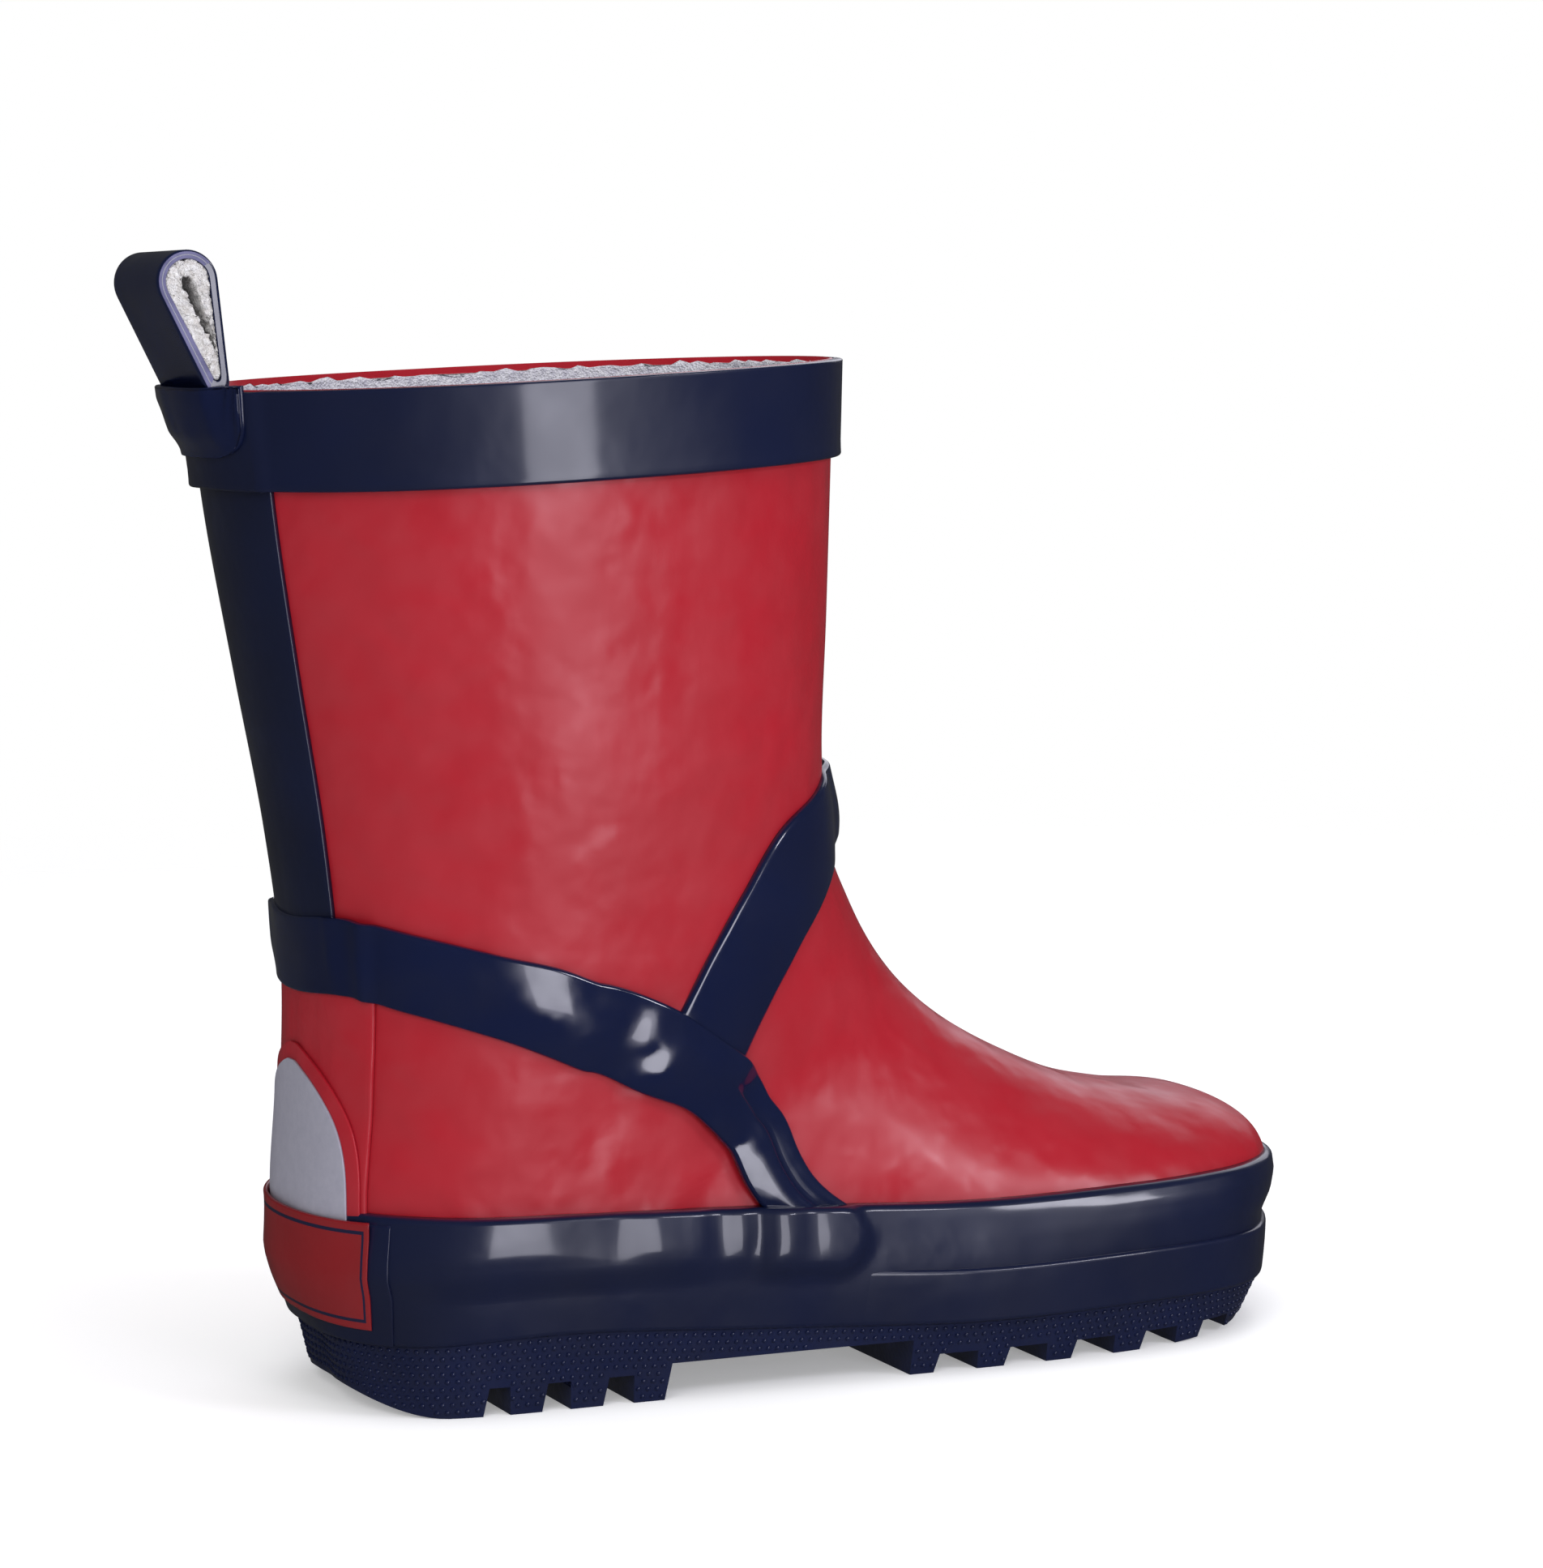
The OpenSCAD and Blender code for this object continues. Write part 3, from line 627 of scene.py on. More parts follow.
def underFoxing(x, w):
    # bulges where the straps and reinforcements end under the foxing; w is 0 at the sole and 1 at the top
    tip = 49.5 + 5 * math.sin(math.pi * min(max(1.15 - w, 0) / 0.75, 1))
    straps = ease(x, 34.5, 38) * (1 - ease(x, tip - 2.2, tip)) * ease(w, 0.38, 0.56)
    fold = 0.55 * hump(x, 33, 2.2) * ease(w, 0.35, 0.9) - 0.45 * hump(x, 36.2, 1) * ease(w, 0.45, 0.9)
    fold += 0.35 * (hump(x, 40.5, 1.6) - hump(x, 44, 1.8)) * ease(w, 0.45, 0.8)
    reinforcement = 0.6 * ease(x, 13, 19) * (1 - ease(x, 26, 28.5)) * ease(w, 0.35, 0.75)
    return 1.4 * straps + fold + reinforcement


def placeFoxing(x, y, z):
    degrees, w = 360 * x / foxingShape["length"], y / foxingShape["width"]
    footing = footX(degrees)
    low, high = edgeHeight(soleEdge, footing), edgeHeight(foxingTop, footing)
    height = low + (high - low) * w
    p = roundFoot(degrees, height, 0)
    if z > 0.5:  # the outer face
        swell = underFoxing(p.x, w) + 0.12 * wobble(p, 12, 3) + 0.7 * math.sin(math.pi * w)
        inward = drawnIn(p.x, height)
    else:
        swell = 0
        inward = 3 * (1 - ease(height, 9, 21)) * (1 - ease(p.x, -30, -12))
    return roundFoot(degrees, height, foxingShape["inner"] + z + swell - inward)


foxing = flatStrip(
    foxingShape["length"], foxingShape["width"], foxingShape["thickness"], foxingShape["around"], foxingShape["up"],
    foxingShape["rounding"], ring=True,
)
bend(foxing, placeFoxing)
makePiece("foxing_band", foxing, navyRubber, "boot", ["foxing_band"])


mmPerDegree = 1.1  # of a flat strip that goes round the foot


def roundStrip(piece):
    # a strip on the foxing from one angle to another, rising over what it lies on
    length = (piece["to"] - piece["from"]) * mmPerDegree
    width = piece["top"] - piece["bottom"]
    strip = flatStrip(length, width, piece["thickness"], piece["cols"], piece["rows"], piece["rounding"])

    def place(x, y, z):
        degrees = piece["from"] + (piece["to"] - piece["from"]) * x / length
        footing = footX(degrees)
        height = edgeHeight(soleEdge, footing) + piece["bottom"] + y
        w = y / width
        fade = min(1, x / piece["fade"], (length - x) / piece["fade"]) if piece["fade"] else 1
        belly = 0.7 * math.sin(math.pi * min((y + piece["bottom"]) / 18.6, 1))
        d = 2.1 + piece["lift"] + belly + piece["lean"] * w**3 + z * fade - drawnIn(footing, height)
        return roundFoot(degrees, height, d)

    bend(strip, place)
    return strip


toeBumper = {
    "from": -96, "to": 96, "bottom": 0.3, "top": 9, "thickness": 1.1, "cols": 200, "rows": 12, "rounding": 0.7,
    "fade": 18, "lift": 0, "lean": 0,
}
heelStrip = {
    "from": 140, "to": 220, "bottom": 0.2, "top": 18.8, "thickness": 0.75, "cols": 90, "rows": 20, "rounding": 0.4,
    "fade": 0, "lift": 0, "lean": 0,
}
heelLabel = {
    "from": 144, "to": 216, "bottom": 2.6, "top": 19.2, "thickness": 0.8, "cols": 80, "rows": 18, "rounding": 0.35,
    "fade": 0, "lift": 0.35, "lean": 0.8,
}
makePiece("toe_bumper", roundStrip(toeBumper), navyRubber, "boot", ["toe_bumper"])
makePiece("heel_strip", roundStrip(heelStrip), navyRubber, "boot", ["heel_strip"])

# the label is moulded red rubber with a thin navy line sunk a little way in from its edge
labelLook = {
    "colour": "#84151B", "shade": "#751218", "cloud": 14, "haze": 8, "roughness": (0.32, 0.45),
    "relief": [(7, 0.05), (1.1, 0.012)], "coat": 0.15, "coatRoughness": 0.2,
    "line": "#1A1A36", "lineInset": 1.5, "lineWidth": 0.55,
}


def addBorderLine(tree, look, length, width):
    # a line at an even distance inside the outline, worked out on the flat strip
    flat = addNode(tree, "ShaderNodeUVMap", {"uv_map": "flat"})
    place = addNode(tree, "ShaderNodeSeparateXYZ", {}, {0: flat.outputs[0]})
    distances = []
    for axis, size in ((0, length), (1, width)):
        fromMiddle = addNode(
            tree, "ShaderNodeMath", {"operation": "SUBTRACT", 1: size / 200}, {0: place.outputs[axis]}
        )
        span = addNode(tree, "ShaderNodeMath", {"operation": "ABSOLUTE"}, {0: fromMiddle.outputs[0]})
        distances.append(
            addNode(tree, "ShaderNodeMath", {"operation": "SUBTRACT", 0: size / 200}, {1: span.outputs[0]})
        )
    nearest = addNode(
        tree, "ShaderNodeMath", {"operation": "MINIMUM"}, {0: distances[0].outputs[0], 1: distances[1].outputs[0]}
    )
    onLine = addNode(
        tree, "ShaderNodeMath", {"operation": "COMPARE", 1: look["lineInset"] / 100, 2: look["lineWidth"] / 200},
        {0: nearest.outputs[0]},
    )
    painted = addNode(tree, "ShaderNodeMix", {"data_type": "RGBA", 7: linear(look["line"])}, {0: onLine.outputs[0]})
    base = tree.nodes["Principled BSDF"].inputs["Base Color"]
    tree.links.new(base.links[0].from_socket, painted.inputs[6])
    tree.links.new(painted.outputs[2], base)


labelRubber = rubber("mouldedRubberLabel", labelLook)
labelLength = (heelLabel["to"] - heelLabel["from"]) * mmPerDegree
addBorderLine(labelRubber.node_tree, labelLook, labelLength, heelLabel["top"] - heelLabel["bottom"])
makePiece("heel_label", roundStrip(heelLabel), labelRubber, "boot", ["heel_label"])
print("foxing made")

# reflector on the heel

reflector = {
    "baseThickness": 0.45, "filmThickness": 0.4,
    "colour": "#B4B3C0", "shade": "#9B9AAB", "bead": 0.35, "mottle": 1.6,
}


def glassBeadFilm(look):
    # retroreflective film: glass beads in a clear binder over aluminium, a fine sparkle on grey
    material, tree, shader, place = newMaterial("glassBeadFilm")
    beads = addNode(tree, "ShaderNodeTexVoronoi", {"Scale": patternScale(look["bead"])}, {"Vector": place})
    mottle = addNode(
        tree, "ShaderNodeTexNoise", {"Scale": patternScale(look["mottle"]), "Detail": 6, "Roughness": 0.7},
        {"Vector": place},
    )
    paint(tree, shader, mottle.outputs["Fac"], look["shade"], look["colour"])
    emboss(tree, shader, beads.outputs["Distance"], 0.02, 0.6)
    shader.inputs["Metallic"].default_value = 0.3
    shader.inputs["Roughness"].default_value = 0.5
    return material


def archEdges(top, bottom, halfAngle):
    # both edges of an arch, from its rounded top down to the foxing
    edge = []
    for i in range(9):
        down = (i / 8) ** 1.7
        edge.append((top + (bottom - top) * down, max(halfAngle * (1 - (1 - down) ** 2.6) ** 0.72, 1.2)))
    return roundBack(edge)


reflectorBase = stripOnLast(
    (24, 30), reflector["baseThickness"] + 0.1, (60, 34), 0.2, archEdges(4.55, 5.95, 33.5),
    evenly(stays["thickness"] + 0.05),
)
makePiece("reflector_base", reflectorBase, redRubber, "boot", ["reflector_base"])
reflectorFilm = stripOnLast(
    (22, 26), reflector["filmThickness"], (60, 34), 0.15, archEdges(4.68, 5.97, 29),
    evenly(stays["thickness"] + reflector["baseThickness"] + 0.1),
)
makePiece(
    "reflector_patch", reflectorFilm, glassBeadFilm(reflector), "boot", ["reflector_patch"]
)

# sole

soleShape = {
    "around": 320, "flare": 1.5, "inset": 2.0, "heelBevelFrom": -12, "toeSpringFrom": 104,
    "heelGrooves": [(-6.6, -3.4), (2.6, 6.2), (12.4, 16.4)], "heelDepth": 4.6,
    "ballGrooves": [(67.6, 74.2), (79.8, 86.4), (91.8, 98.8), (104.8, 111.2), (117, 123.2)], "ballDepth": 3.2,
    "arch": (22.4, 62.6), "archHeight": 6.0, "taper": 0.6,
    "dot": 0.42, "dotRise": 0.3, "dotPitch": 1.55, "rowPitch": 1.25, "rows": 11,
}


def treadHeight(x):
    if x < soleShape["heelBevelFrom"]:
        return 0.025 * (x - soleShape["heelBevelFrom"]) ** 2
    if x > soleShape["toeSpringFrom"]:
        return 0.0022 * (x - soleShape["toeSpringFrom"]) ** 2
    return 0


def soleWall(degrees, w):
    # point on the side of the sole, w from 0 at the floor to 1 at the foxing
    heel = 1 - ease(footX(degrees), -30, -12)
    bottom = roundFoot(degrees, 0, -soleShape["inset"] - 3.4 * heel)
    top = roundFoot(degrees, 0, soleShape["flare"] - 4.6 * heel)
    bottom.z = treadHeight(bottom.x)
    top.z = edgeHeight(soleEdge, top.x)
    return bottom.lerp(top, w)


def soleGrooves():
    # from x, to x and depth, the arch last
    grooves = [(a, b, soleShape["heelDepth"]) for a, b in soleShape["heelGrooves"]]
    grooves += [(a, b, soleShape["ballDepth"]) for a, b in soleShape["ballGrooves"]]
    return grooves + [(*soleShape["arch"], soleShape["archHeight"])]


def buildOutsole():
    # from the middle of the tread out to its edge, up the side and back to the middle of the top
    rows = [(0, 0), (0.35, 0), (0.7, 0), (0.9, 0), (1, 0)] + [(1, h / 8) for h in range(1, 9)] + [(0.6, 1), (0, 1)]
    bm = bmesh.new()
    bmesh.ops.create_grid(bm, x_segments=len(rows) - 1, y_segments=soleShape["around"], size=0.5)
    cx, cy = footPlan["centre"]
    for v in bm.verts:
        reach, w = rows[round((v.co.x + 0.5) * (len(rows) - 1))]
        edge = soleWall(360 * (v.co.y + 0.5), w)
        x, y = cx + (edge.x - cx) * reach, cy + (edge.y - cy) * reach
        if reach == 1:
            v.co = edge
        else:
            v.co = (x, y, treadHeight(x) if w == 0 else edgeHeight(soleEdge, x))
    bmesh.ops.remove_doubles(bm, verts=bm.verts, dist=0.004)
    bmesh.ops.recalc_face_normals(bm, faces=bm.faces)
    body = bpy.data.meshes.new("outsoleBody")
    bm.to_mesh(body)
    bm.free()

    cutters = bmesh.new()
    for a, b, depth in soleGrooves():
        made = bmesh.ops.create_cube(cutters, size=1)["verts"]
        for v in made:
            taper = soleShape["taper"] if v.co.z < 0 else 0
            v.co = (b + taper if v.co.x > 0 else a - taper, 120 * v.co.y, depth if v.co.z > 0 else -1)
    cutterMesh = bpy.data.meshes.new("grooves")
    cutters.to_mesh(cutterMesh)
    cutters.free()
    block = bpy.data.objects.new("outsoleBlock", body)
    knife = bpy.data.objects.new("grooveCutter", cutterMesh)
    for o in (block, knife):
        bpy.context.scene.collection.objects.link(o)
    cut = block.modifiers.new("grooves", "BOOLEAN")
    cut.operation = "DIFFERENCE"
    cut.solver = "EXACT"
    cut.object = knife
    cutMesh = bpy.data.meshes.new_from_object(block.evaluated_get(bpy.context.evaluated_depsgraph_get()))
    for o in (block, knife):
        bpy.data.objects.remove(o)
    bm = bmesh.new()
    bm.from_mesh(cutMesh)
    piece = makePiece("outsole", bm, soleRubber, "boot", ["outsole"])
    piece.data.set_sharp_from_angle(angle=math.radians(35))
    worn = piece.modifiers.new("worn edges", "BEVEL")
    worn.width = 0.25 * mm
    worn.segments = 2
    worn.limit_method = "ANGLE"
    worn.angle_limit = math.radians(38)
    worn.use_clamp_overlap = True
    return piece


def inGroove(point, margin):
    return any(a - margin < point.x < b + margin and point.z < depth + margin for a, b, depth in soleGrooves())


def buildDots():
    # small raised domes in staggered rows on the side of the sole
    dome = bmesh.new()
    bmesh.ops.create_uvsphere(dome, u_segments=8, v_segments=4, radius=soleShape["dot"])
    bmesh.ops.scale(dome, verts=dome.verts, vec=(1, 1, soleShape["dotRise"] / soleShape["dot"]))
    dot = bpy.data.meshes.new("dot")
    dome.to_mesh(dot)
    dome.free()
    bm = bmesh.new()
    wall = [soleWall(d, 0.5) for d in range(0, 360, 2)]
    perimeter = sum((wall[i] - wall[i - 1]).length for i in range(len(wall)))
    count = round(perimeter / soleShape["dotPitch"])
    # even steps along the wall, because equal angles are closer together at the sides
    lengths, angles = [0.0], [0.0]
    for i in range(1, len(wall) + 1):
        lengths.append(lengths[-1] + (wall[i % len(wall)] - wall[i - 1]).length)
        angles.append(2.0 * i)
    for row in range(soleShape["rows"]):
        fromTop = 0.75 + row * soleShape["rowPitch"]
        k = 0
        for i in range(count):
            target = perimeter * (i + 0.5 * (row % 2)) / count
            while k < len(lengths) - 2 and lengths[k + 1] < target:
                k += 1
            f = (target - lengths[k]) / (lengths[k + 1] - lengths[k])
            degrees = angles[k] + f * 2.0
            low, high = soleWall(degrees, 0), soleWall(degrees, 1)
            w = 1 - fromTop / (high.z - low.z)
            if w < 0.06:
                continue
            p = soleWall(degrees, w)
            if inGroove(p, soleShape["dot"] + 0.15):
                continue
            side = soleWall(degrees + 1, w) - soleWall(degrees - 1, w)
            out = side.cross(high - low).normalized()
            spot = Matrix.Translation(p) @ out.to_track_quat("Z", "Y").to_matrix().to_4x4()
            dot.transform(spot)
            bm.from_mesh(dot)
            dot.transform(spot.inverted())
    return makePiece("outsole_dots", bm, soleRubber, "boot", closed=False)


buildOutsole()
buildDots()
print("sole made")

# pull loop

loopShape = {
    "root": (-42.5, 154.4), "rootRadius": 1.9, "height": 19.2, "topRadius": 4.6, "lean": -4.3, "width": 22,
    "length": 60, "rubber": 1.3, "fleece": 2.3, "slitRise": 5,
}


@functools.lru_cache(maxsize=None)
def loopOutline(drawnIn, rise):
    # closed outline round two circles, as points and outward directions at even steps
    x, z = loopShape["root"]
    low = Vector((x, z + rise))
    high = Vector((x + loopShape["lean"], z + loopShape["height"] - loopShape["topRadius"]))
    r1, r2 = max(loopShape["rootRadius"] - drawnIn, 0.3), loopShape["topRadius"] - drawnIn
    axis = high - low
    heading = math.atan2(axis.y, axis.x)
    spread = math.acos((r1 - r2) / axis.length)
    # straight sides touch both circles at this angle from the axis
    path = []
    for i in range(41):
        a = heading - spread + 2 * spread * i / 40
        path.append((high + r2 * Vector((math.cos(a), math.sin(a))), a))
    for i in range(41):
        a = heading + spread + (2 * math.pi - 2 * spread) * i / 40
        path.append((low + r1 * Vector((math.cos(a), math.sin(a))), a))
    lengths = [0.0]
    for i in range(1, len(path) + 1):
        lengths.append(lengths[-1] + (path[i % len(path)][0] - path[i - 1][0]).length)
    return path, lengths


def aroundLoop(s, drawnIn, rise):
    path, lengths = loopOutline(drawnIn, rise)
    target = (s % 1) * lengths[-1]
    k = next(i for i in range(len(path)) if lengths[i + 1] >= target)
    f = (target - lengths[k]) / max(lengths[k + 1] - lengths[k], 1e-6)
    return path[k][0].lerp(path[(k + 1) % len(path)][0], f)


def loopLayer(outer, inner, width, along, across, rounding, layers, fuzz=0.0):
    # a band of the loop between two outlines, each given as how far it is drawn in and how far its end is raised
    length = loopShape["length"]
    strip = flatStrip(length, width, 1, along, across, rounding, ring=True, layers=layers)
    strip.normal_update()
    for f in strip.faces:
        middle = f.calc_center_median()
        if not fuzz and abs(f.normal.y) > 0.9 and 0.05 < middle.x / length < 0.62 and abs(middle.z - 0.45) > 0.07:
            f.material_index = 1  # cut plies show on the back strand, with the glue line between them

    def place(x, y, z):
        a, b = aroundLoop(x / length, *inner), aroundLoop(x / length, *outer)
        p = a.lerp(b, z)
        point = Vector((p.x, y - width / 2, p.y))
        if fuzz:
            inward = 1 - z
            shag = Vector((wobble(point, 0.8), wobble(point, 0.7, 5), wobble(point, 0.8, 9)))
            shag += 0.6 * Vector((wobble(point, 0.35, 2), wobble(point, 0.35, 6), wobble(point, 0.35, 11)))
            point += shag * fuzz * (0.25 + 0.75 * inward if abs(point.y) < width / 2 - 0.3 else 1)
        return point

    bend(strip, place)
    return strip


def cutPlies():
    # the cut edge of rubberised webbing: pale fabric plies pressed between two dark skins
    material, tree, shader, place = newMaterial("cutRubberPlies")
    plies = addNode(tree, "ShaderNodeTexNoise", {"Scale": patternScale(2.5), "Detail": 3}, {"Vector": place})
    paint(tree, shader, plies.outputs["Fac"], "#343458", "#75739A")
    emboss(tree, shader, plies.outputs["Fac"], 0.1)
    shader.inputs["Roughness"].default_value = 0.55
    return material


loopBand = loopLayer((0, 0), (loopShape["rubber"], 0.8), loopShape["width"], 120, 20, 0.3, 6)
loopPiece = makePiece("pull_loop", loopBand, strapRubber, "pull_loop", ["pull_loop"])
loopPiece.data.materials.append(cutPlies())
loopLining = loopLayer(
    (loopShape["rubber"] - 0.05, 0.9), (loopShape["rubber"] + loopShape["fleece"], loopShape["slitRise"]),
    loopShape["width"] - 0.8, 190, 26, 0, 7, fuzz=0.42,
)
makePiece("pull_loop_lining", loopLining, loopFleece, "pull_loop", ["pull_loop_lining"])

patchShape = {"tail": 2.2, "thickness": 0.7}


def tailHeight(u):
    return patchShape["tail"] - 1.2 * ease(u, 0.05, 0.38)


tails = stripOnLast((7, 20), 1, (14, 24), 0.25, roundBack([(0.02, 16), (0.38, 16)]), evenly(1.6))
makePiece("pull_loop_tails", tails, navyRubber, "boot", ["pull_loop_tails"])


def coverLift(u, t, s, w):
    # the cover swells over the loop's ends and settles on the band round them
    side = abs(t - 180)
    pocket = (tailHeight(u) + 0.3) * (1 - ease(side, 13, 18)) * (1 - ease(u, 0.36, 0.54))
    sag = 0.6 * hump(side, 4, 9) * hump(u, 0.3, 0.14)
    folds = 0.5 * hump(side, 18.3 - 4 * u, 0.8) + 0.4 * hump(side, 20.6 - 3 * u, 0.7)
    folds *= 1 - ease(u, 0.2, 0.5)
    return overBackStay(t) + bandShape["thickness"] + pocket + sag + folds + 0.12 * wobble(onLast(u, t), 4, 8)


coverEdges = roundBack([(-0.09, 22), (0.2, 21.5), (0.4, 20.5), (0.5, 17.5), (0.55, 11)])
cover = stripOnLast((9, 30), patchShape["thickness"], (44, 76), 0.4, coverEdges, coverLift)
makePiece("pull_loop_patch", cover, strapRubber, "boot", ["pull_loop_patch"])
print("pull loop made")

# insole

insole = {
    "size": (120, 44), "sides": [(7.35, 40), (8, 46), (9, 47), (10, 47), (11, 48), (12, 45), (12.6, 34)],
    "foam": -7.3, "foamThickness": 3.0, "cover": -8.1, "coverThickness": 0.75,
}


def closedCellFoam():
    # EVA foam: matte, with the tiny cut cells of a split sheet
    material, tree, shader, place = newMaterial("closedCellFoam")
    cells = addNode(tree, "ShaderNodeTexVoronoi", {"Scale": patternScale(0.5)}, {"Vector": place})
    paint(tree, shader, cells.outputs["Distance"], "#A9ABB3", "#C6C7CD")
    emboss(tree, shader, cells.outputs["Distance"], 0.05, 0.7)
    shader.inputs["Roughness"].default_value = 0.85
    return material


insoleEdges = roundBack(insole["sides"])
foam = stripOnLast(insole["size"], insole["foamThickness"], (70, 34), 0.5, insoleEdges, evenly(insole["foam"]))
foamPiece = makePiece("insole_foam", foam, closedCellFoam(), "insole", ["insole_foam"])


def insoleCoverLift(u, t, s, w):
    return insole["cover"] + 0.08 * wobble(onLast(u, t), 1.2)


coverSheet = stripOnLast(insole["size"], insole["coverThickness"], (110, 56), 0, insoleEdges, insoleCoverLift)
makePiece("insole_cover", coverSheet, liningFleece, "insole", ["insole_cover"])

# hidden layers: the CAD solids stay, with their own finishes


def rubberisedCanvas():
    # cotton canvas with rubber pressed into it: a plain weave under a dull film
    material, tree, shader, place = newMaterial("rubberisedCanvas")
    height = None
    for turn in ("X", "Z"):
        threads = addNode(
            tree, "ShaderNodeTexWave", {"bands_direction": turn, "Scale": patternScale(0.9) / 20}, {"Vector": place}
        )
        if height:
            height = addNode(
                tree, "ShaderNodeMath", {"operation": "MAXIMUM"},
                {0: threads.outputs["Fac"], 1: height.outputs["Fac"]},
            )
        else:
            height = threads
    paint(tree, shader, height.outputs[0], "#5F5C57", "#8A857C")
    emboss(tree, shader, height.outputs[0], 0.1, 0.8)
    shader.inputs["Roughness"].default_value = 0.8
    return material


def speckled(name, look):
    # pressed fibre board or sponge rubber: matte with coarse specks
    material, tree, shader, place = newMaterial(name)
    specks = addNode(
        tree, "ShaderNodeTexNoise", {"Scale": patternScale(look["speck"]), "Detail": 8, "Roughness": 0.75},
        {"Vector": place},
    )
    paint(tree, shader, specks.outputs["Fac"], look["shade"], look["colour"])
    emboss(tree, shader, specks.outputs["Fac"], look["depth"], 0.7)
    shader.inputs["Roughness"].default_value = 0.9
    return material


canvas = rubberisedCanvas()
hiddenLayers = {
    "heel_counter": canvas,
    "toe_puff": canvas,
    "ankle_reinforcement_outer": canvas,
    "ankle_reinforcement_inner": canvas,
    "insole_board": speckled(
        "celluloseBoard", {"colour": "#B59A70", "shade": "#8C7350", "speck": 1.5, "depth": 0.1}
    ),
    "midsole_sponge": speckled(
        "spongeRubber", {"colour": "#6B7078", "shade": "#4C5058", "speck": 0.8, "depth": 0.2}
    ),
}
for name, material in hiddenLayers.items():
    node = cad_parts[name]
    node.data.materials.clear()
    node.data.materials.append(material)
print("insole and hidden layers made")

# floor, light and camera

studio = {
    "floorColour": "#F6F6F7", "floorFade": (0.35, 0.85), "background": "#FFFFFF", "fill": 0.3, "gloss": 0.05,
    "coolLight": (0.9, 0.89, 1.0), "target": (0.045, 0, 0.08),
    "glow": 0.3,  # the paper is lit from below as well, which keeps its shadows light
    "key": {"azimuth": 10, "elevation": 2, "distance": 1.1, "size": (0.32, 0.6), "power": 5, "gloss": True},
    "front": {"azimuth": 38, "elevation": 27, "distance": 1.2, "size": (0.34, 0.16), "power": 3.6, "gloss": True},
    "side": {"azimuth": -40, "elevation": 30, "distance": 1.3, "size": (0.7, 0.7), "power": 6, "gloss": False},
    "top": {"azimuth": 0, "elevation": 80, "distance": 1.4, "size": (1.2, 1.2), "power": 9, "gloss": False},
    "back": {"azimuth": 140, "elevation": 26, "distance": 1.3, "size": (0.9, 0.8), "power": 3, "gloss": True},
}


def direction(azimuth, elevation):
    # azimuth 0 stands in front of the boot's outer side, 90 in front of its toe
    a, e = math.radians(azimuth), math.radians(elevation)
    return Vector((math.sin(a) * math.cos(e), -math.cos(a) * math.cos(e), math.sin(e)))


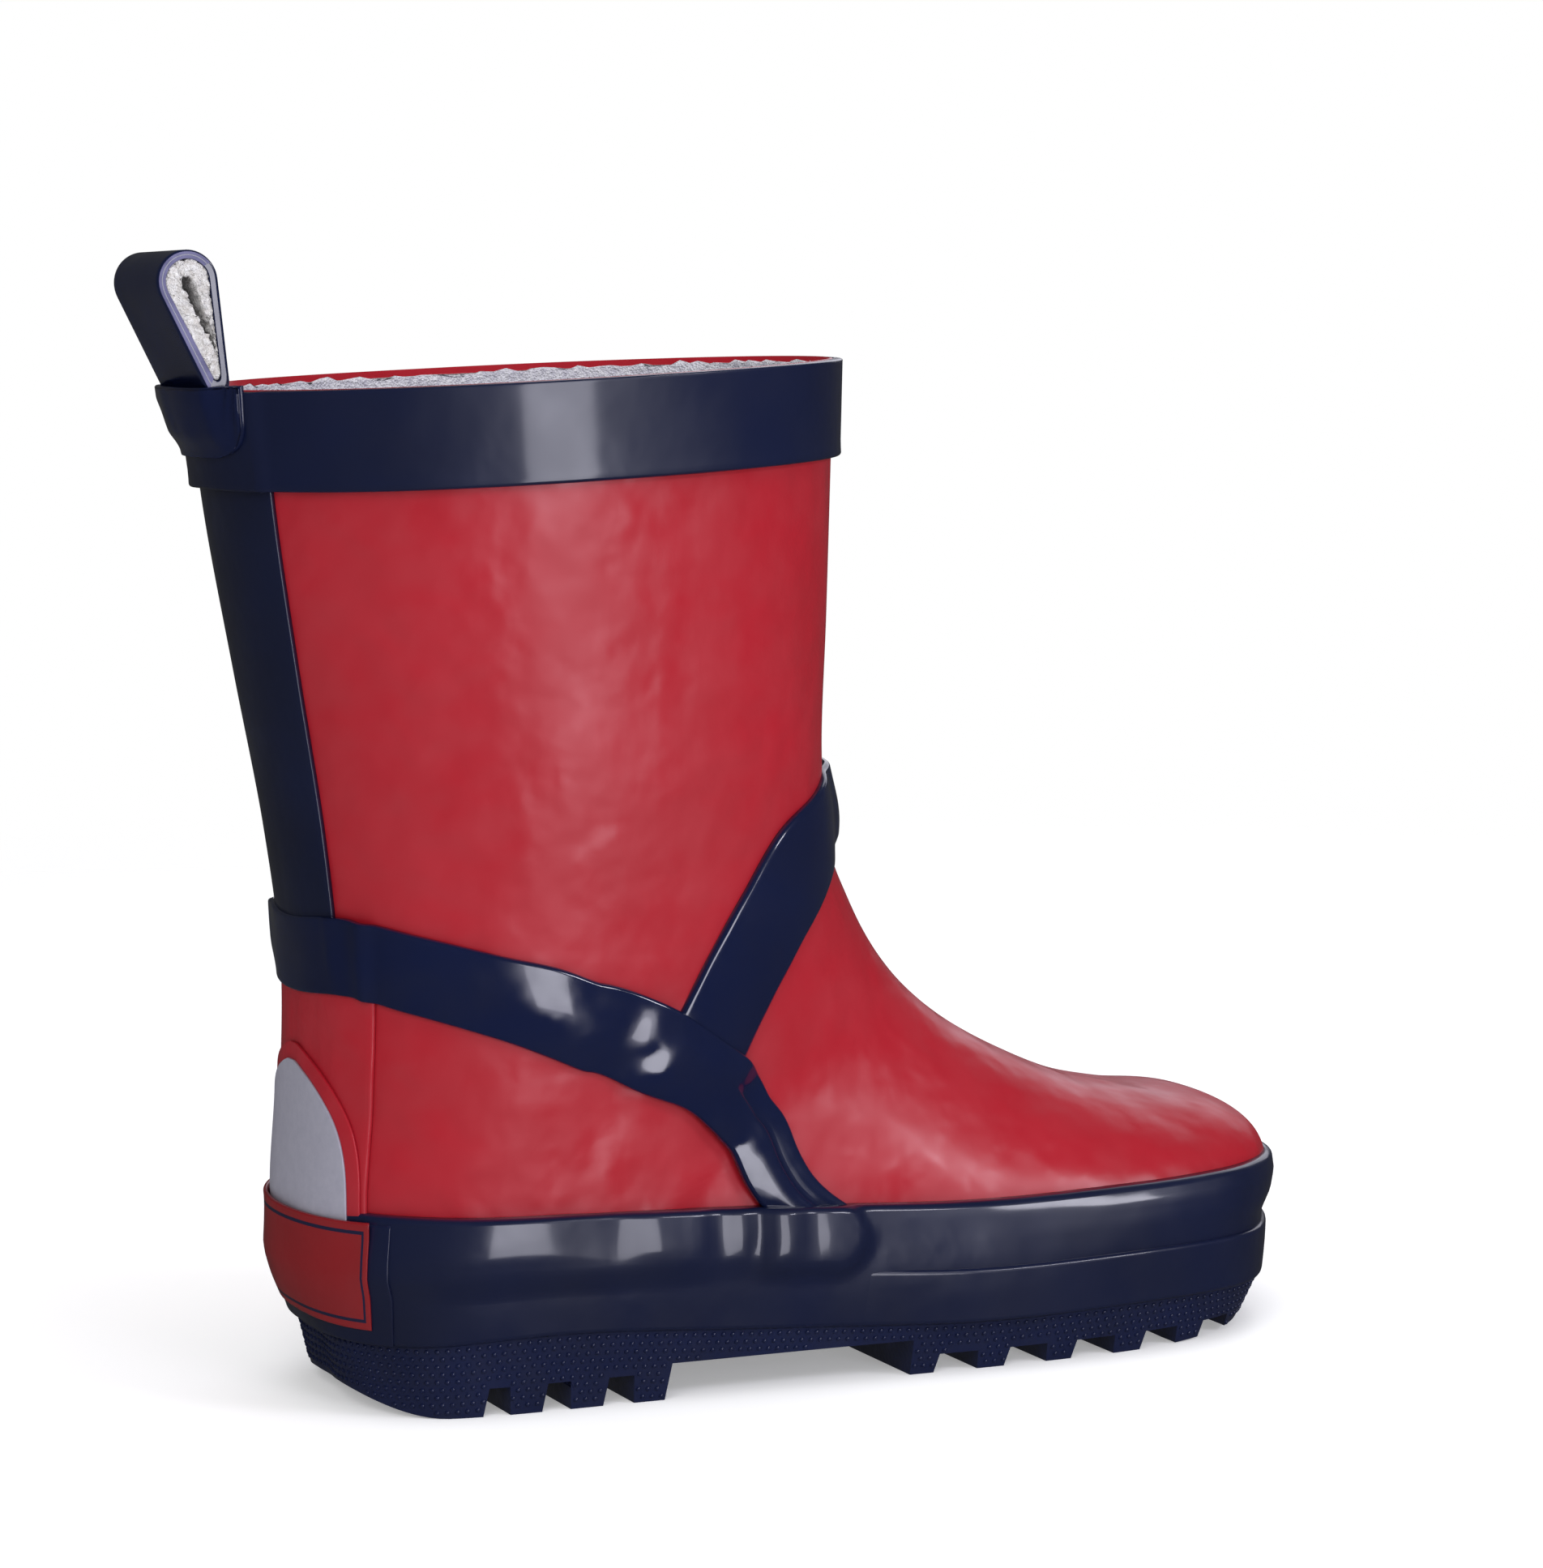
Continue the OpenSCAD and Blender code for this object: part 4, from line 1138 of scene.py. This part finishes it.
def buildStudio():
    bm = bmesh.new()
    bmesh.ops.create_circle(bm, segments=64, radius=studio["floorFade"][1], cap_ends=True)
    mesh = bpy.data.meshes.new("floor")
    bm.to_mesh(mesh)
    bm.free()
    floor = bpy.data.objects.new("floor", mesh)
    bpy.context.scene.collection.objects.link(floor)
    floor.visible_glossy = False  # black cards round the boot keep the paper out of its gloss
    # the paper fades into the white background before it ends
    paper, tree, shader, place = newMaterial("studioPaper")
    shader.inputs["Base Color"].default_value = linear(studio["floorColour"])
    shader.inputs["Roughness"].default_value = 0.9
    shader.inputs["Specular IOR Level"].default_value = 0.1
    shader.inputs["Emission Color"].default_value = linear(studio["background"])
    shader.inputs["Emission Strength"].default_value = studio["glow"]
    far = addNode(tree, "ShaderNodeVectorMath", {"operation": "LENGTH"}, {0: place})
    fade = addNode(
        tree, "ShaderNodeMapRange",
        {"interpolation_type": "SMOOTHSTEP", "From Min": studio["floorFade"][0], "From Max": studio["floorFade"][1],
         "To Min": 1.0, "To Max": 0.0},
        {"Value": far.outputs["Value"]},
    )
    tree.links.new(fade.outputs["Result"], shader.inputs["Alpha"])
    mesh.materials.append(paper)

    world = bpy.data.worlds.new("studio")
    bpy.context.scene.world = world
    world.use_nodes = True
    tree = world.node_tree
    tree.nodes["Background"].inputs["Color"].default_value = linear(studio["background"])
    ray = addNode(tree, "ShaderNodeLightPath")
    dim = addNode(
        tree, "ShaderNodeMapRange", {"To Min": studio["fill"], "To Max": studio["gloss"]},
        {"Value": ray.outputs["Is Glossy Ray"]},
    )
    strength = addNode(
        tree, "ShaderNodeMapRange", {"To Max": 1.0},
        {"Value": ray.outputs["Is Camera Ray"], "To Min": dim.outputs["Result"]},
    )
    tree.links.new(strength.outputs["Result"], tree.nodes["Background"].inputs["Strength"])

    for name in ("key", "front", "side", "top", "back"):
        look = studio[name]
        lamp = bpy.data.lights.new(name, "AREA")
        lamp.shape = "RECTANGLE"
        lamp.size, lamp.size_y = look["size"]
        lamp.energy = look["power"]
        if look["gloss"]:
            lamp.color = studio["coolLight"]
        holder = bpy.data.objects.new(name, lamp)
        holder.visible_glossy = look["gloss"]
        way = direction(look["azimuth"], look["elevation"])
        holder.location = Vector(studio["target"]) + way * look["distance"]
        holder.rotation_mode = "QUATERNION"
        holder.rotation_quaternion = way.to_track_quat("Z", "Y")
        bpy.context.scene.collection.objects.link(holder)


cameraSet = {"azimuth": -25, "elevation": 5.7, "distance": 0.7, "target": (0.0516, 0, 0.0907), "lens": 101.6}


def buildCamera():
    lens = bpy.data.cameras.new("camera")
    lens.lens = cameraSet["lens"]
    lens.sensor_width = 36
    camera = bpy.data.objects.new("camera", lens)
    way = direction(cameraSet["azimuth"], cameraSet["elevation"])
    camera.location = Vector(cameraSet["target"]) + way * cameraSet["distance"]
    camera.rotation_mode = "QUATERNION"
    camera.rotation_quaternion = way.to_track_quat("Z", "Y")
    bpy.context.scene.collection.objects.link(camera)
    bpy.context.scene.camera = camera


buildStudio()
buildCamera()
bpy.context.scene.view_settings.view_transform = "Standard"
print("studio made")
